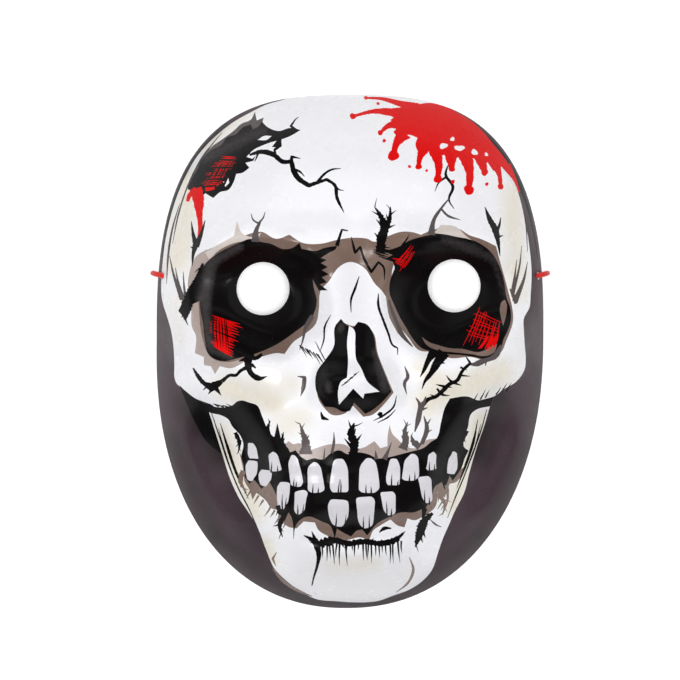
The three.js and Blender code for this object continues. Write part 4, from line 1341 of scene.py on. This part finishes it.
def sheet_surface(nodes, where, roughness=PLASTIC_ROUGHNESS):
    """The moulded sheet's gloss: faint ripples, a fine grain, and rubbed patches."""
    ripple = nodes.bump(nodes.noise(where, scale=260, detail=1.0), strength=0.10, distance=0.0004)
    grain = nodes.noise(where, scale=2600, detail=2.0)
    nodes.link(nodes.bump(grain, strength=0.05, distance=0.0001, over=ripple), "Normal")
    rubbed = nodes.noise(where, scale=90, detail=4.0, roughness=0.6)
    nodes.link(nodes.between(rubbed, roughness - 0.05, roughness + 0.08, *NOISE_SPAN), "Roughness")
    nodes.set("IOR", PLASTIC_IOR)


def ink_material(ink):
    """One printed ink under the sheet's gloss, with the print's fine mottling; some inks also take painted
    shade, and the black takes painted sheen.
    """
    nodes = Nodes(ink + "_ink")
    where = nodes.object_place()
    colour = from_screen(*INK_COLOURS[ink])
    if ink == "bone":
        tint = nodes.painted_tint("cream")
        brushing = nodes.noise(where, scale=110, detail=5.0, roughness=0.62)
        brushing = nodes.between(brushing, 0.8, 1.2, *NOISE_SPAN)
        share = nodes.calculate("MULTIPLY", tint, brushing, use_clamp=True)
        colour = nodes.mix(share, colour, from_screen(*CREAM))
    # Painted shade, and the print's airbrushed grey, darken these inks.
    if ink in INKS_TAKING_AIRBRUSH_AND_SHADE:
        share = nodes.between(nodes.painted_tint("airbrush_and_painted_shade"), 0.0, INKS_TAKING_AIRBRUSH_AND_SHADE[ink])
        colour = nodes.mix(share, colour, from_screen(*AIRBRUSH_AND_SHADE_DARK))
    if ink == "black":
        # Dry brushing and painted sheen: the grey breaks up into specks where it thins out.
        tint = nodes.painted_tint("dry_brush_and_painted_sheen")
        thin = nodes.calculate("ADD", tint, nodes.noise(where, scale=700, detail=5.0, roughness=0.75))
        colour = nodes.mix(nodes.between(thin, 0.0, 0.9, start=0.7, end=1.5), colour, from_screen(*DRY_BRUSH_AND_SHEEN_GREY))
    mottle = nodes.noise(where, scale=1500, detail=3.0, roughness=0.6)
    cloud = nodes.noise(where, scale=45, detail=3.0)
    fleck = nodes.between(mottle, *(CHARCOAL_MOTTLE if ink == "charcoal" else EVEN_MOTTLE), *NOISE_SPAN)
    grain = nodes.calculate("MULTIPLY", fleck, nodes.between(cloud, *CLOUDING, *NOISE_SPAN))
    shade = nodes.add("ShaderNodeCombineColor", {"Red": grain, "Green": grain, "Blue": grain}).outputs["Color"]
    nodes.link(nodes.mix(1.0, colour, shade, "MULTIPLY"), "Base Color")
    sheet_surface(nodes, where, CHARCOAL_ROUGHNESS if ink == "charcoal" else PLASTIC_ROUGHNESS)
    if ink in DULL_INKS:
        specular, ior = DULL_INKS[ink]
        nodes.set("Specular IOR Level", specular)
        nodes.set("IOR", ior)
    return nodes.material


def plain_plastic():
    """The unprinted back of the sheet and its cut edges."""
    nodes = Nodes("plain_white_plastic")
    where = nodes.object_place()
    cloud = nodes.noise(where, scale=60, detail=4.0)
    nodes.link(nodes.mix(cloud, *[from_screen(*white) for white in PLAIN_WHITES]), "Base Color")
    sheet_surface(nodes, where)
    return nodes.material


def elastic_material():
    """Red cord with a braided cover: crossing threads, with painted shade between them."""
    nodes = Nodes("braided_red_elastic")
    where = nodes.add("ShaderNodeUVMap", uv_map="around_and_along").outputs["UV"]
    threads = []
    for lean in (1, -1):
        turned = nodes.add("ShaderNodeMapping", {"Vector": where, "Rotation": (0, 0, lean * THREAD_LEAN),
                                                 "Scale": (8, 8, 8)})
        wave = nodes.add("ShaderNodeTexWave", {"Vector": turned.outputs["Vector"], "Scale": 0.9,
                                               "Distortion": 0.4, "Detail": 1.0})
        threads.append(wave.outputs["Fac"])
    weave = nodes.calculate("MAXIMUM", *threads)
    fuzz = nodes.noise(nodes.object_place(), scale=2400, detail=4.0, roughness=0.7)
    # The dark between the threads is painted shade.
    thread_tone_with_gap_shade = nodes.mix(weave, *[from_screen(*red) for red in GAP_SHADE_AND_THREAD_REDS])
    fuzzy = nodes.between(fuzz, 0.0, 0.15, start=0.35, end=0.75)
    nodes.link(nodes.mix(fuzzy, thread_tone_with_gap_shade, from_screen(*FUZZ_RED)), "Base Color")
    ridged = nodes.bump(weave, strength=0.5, distance=0.0002)
    nodes.link(nodes.bump(fuzz, strength=0.35, distance=0.0001, over=ridged), "Normal")
    nodes.link(nodes.between(fuzz, 0.5, 0.75, *NOISE_SPAN), "Roughness")
    nodes.set("Sheen Weight", 0.3)
    nodes.set("Sheen Roughness", 0.5)
    return nodes.material


shell = printed_shell()
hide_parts("mask_shell")
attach(shell, "root")

red_elastic = elastic_material()
for piece in elastic_pieces.values():
    piece.data.materials.append(red_elastic)


# The studio
FLOOR_SIZE = 12
FLOOR_DROP = 0.0001
FLOOR_GLOW = 0.15
AIR_LIGHT = 0.08


def studio_floor():
    bpy.ops.object.select_all(action="DESELECT")
    bpy.ops.mesh.primitive_plane_add(size=FLOOR_SIZE, location=(0, 0, -FLOOR_DROP))
    floor = bpy.context.object
    floor.name = "studio_floor"
    nodes = Nodes("pale_floor")
    cloud = nodes.noise(nodes.object_place(), scale=3, detail=2.0)
    nodes.link(nodes.mix(cloud, *[from_screen(*white) for white in FLOOR_WHITES]), "Base Color")
    nodes.set("Emission Color", (1, 1, 1, 1))
    nodes.set("Emission Strength", FLOOR_GLOW)
    nodes.set("Roughness", 0.9)
    nodes.set("Specular IOR Level", 0.1)
    floor.data.materials.append(nodes.material)


def softbox(name, place, size, power, mirrored=True, lighting=True):
    """A square lamp that faces the mask, and can be hidden from its gloss or seen only in it."""
    bpy.ops.object.light_add(type="AREA", location=place)
    lamp = bpy.context.object
    lamp.name = name
    lamp.data.shape = "RECTANGLE"
    lamp.data.size, lamp.data.size_y = size
    lamp.data.energy = power
    lamp.rotation_euler = (-Vector(place)).to_track_quat("-Z", "Y").to_euler()
    lamp.visible_glossy = mirrored
    lamp.visible_diffuse = lighting


studio_floor()
softbox("left_softbox", (-1.25, 0.1, 0.95), (1.3, 1.0), 4.6)
softbox("right_softbox", (1.25, 0.1, 0.95), (1.3, 1.0), 3.4)
softbox("crown_softbox", (0.1, 1.25, 1.0), (1.4, 0.8), 2.4)
softbox("chin_softbox", (0.0, -1.3, 1.1), (1.2, 0.7), 1.6)
softbox("muzzle_glint", (-0.68, -0.5, 1.36), (0.4, 0.4), 7, lighting=False)
softbox("top_fill", (0, 0, 2.2), (0.3, 0.3), 38.5, mirrored=False)

world = bpy.data.worlds.new("studio_air")
world.use_nodes = True
air = world.node_tree.nodes["Background"]
air.inputs["Color"].default_value = (1, 1, 1, 1)
air.inputs["Strength"].default_value = AIR_LIGHT
bpy.context.scene.world = world
bpy.context.scene.view_settings.view_transform = "Standard"
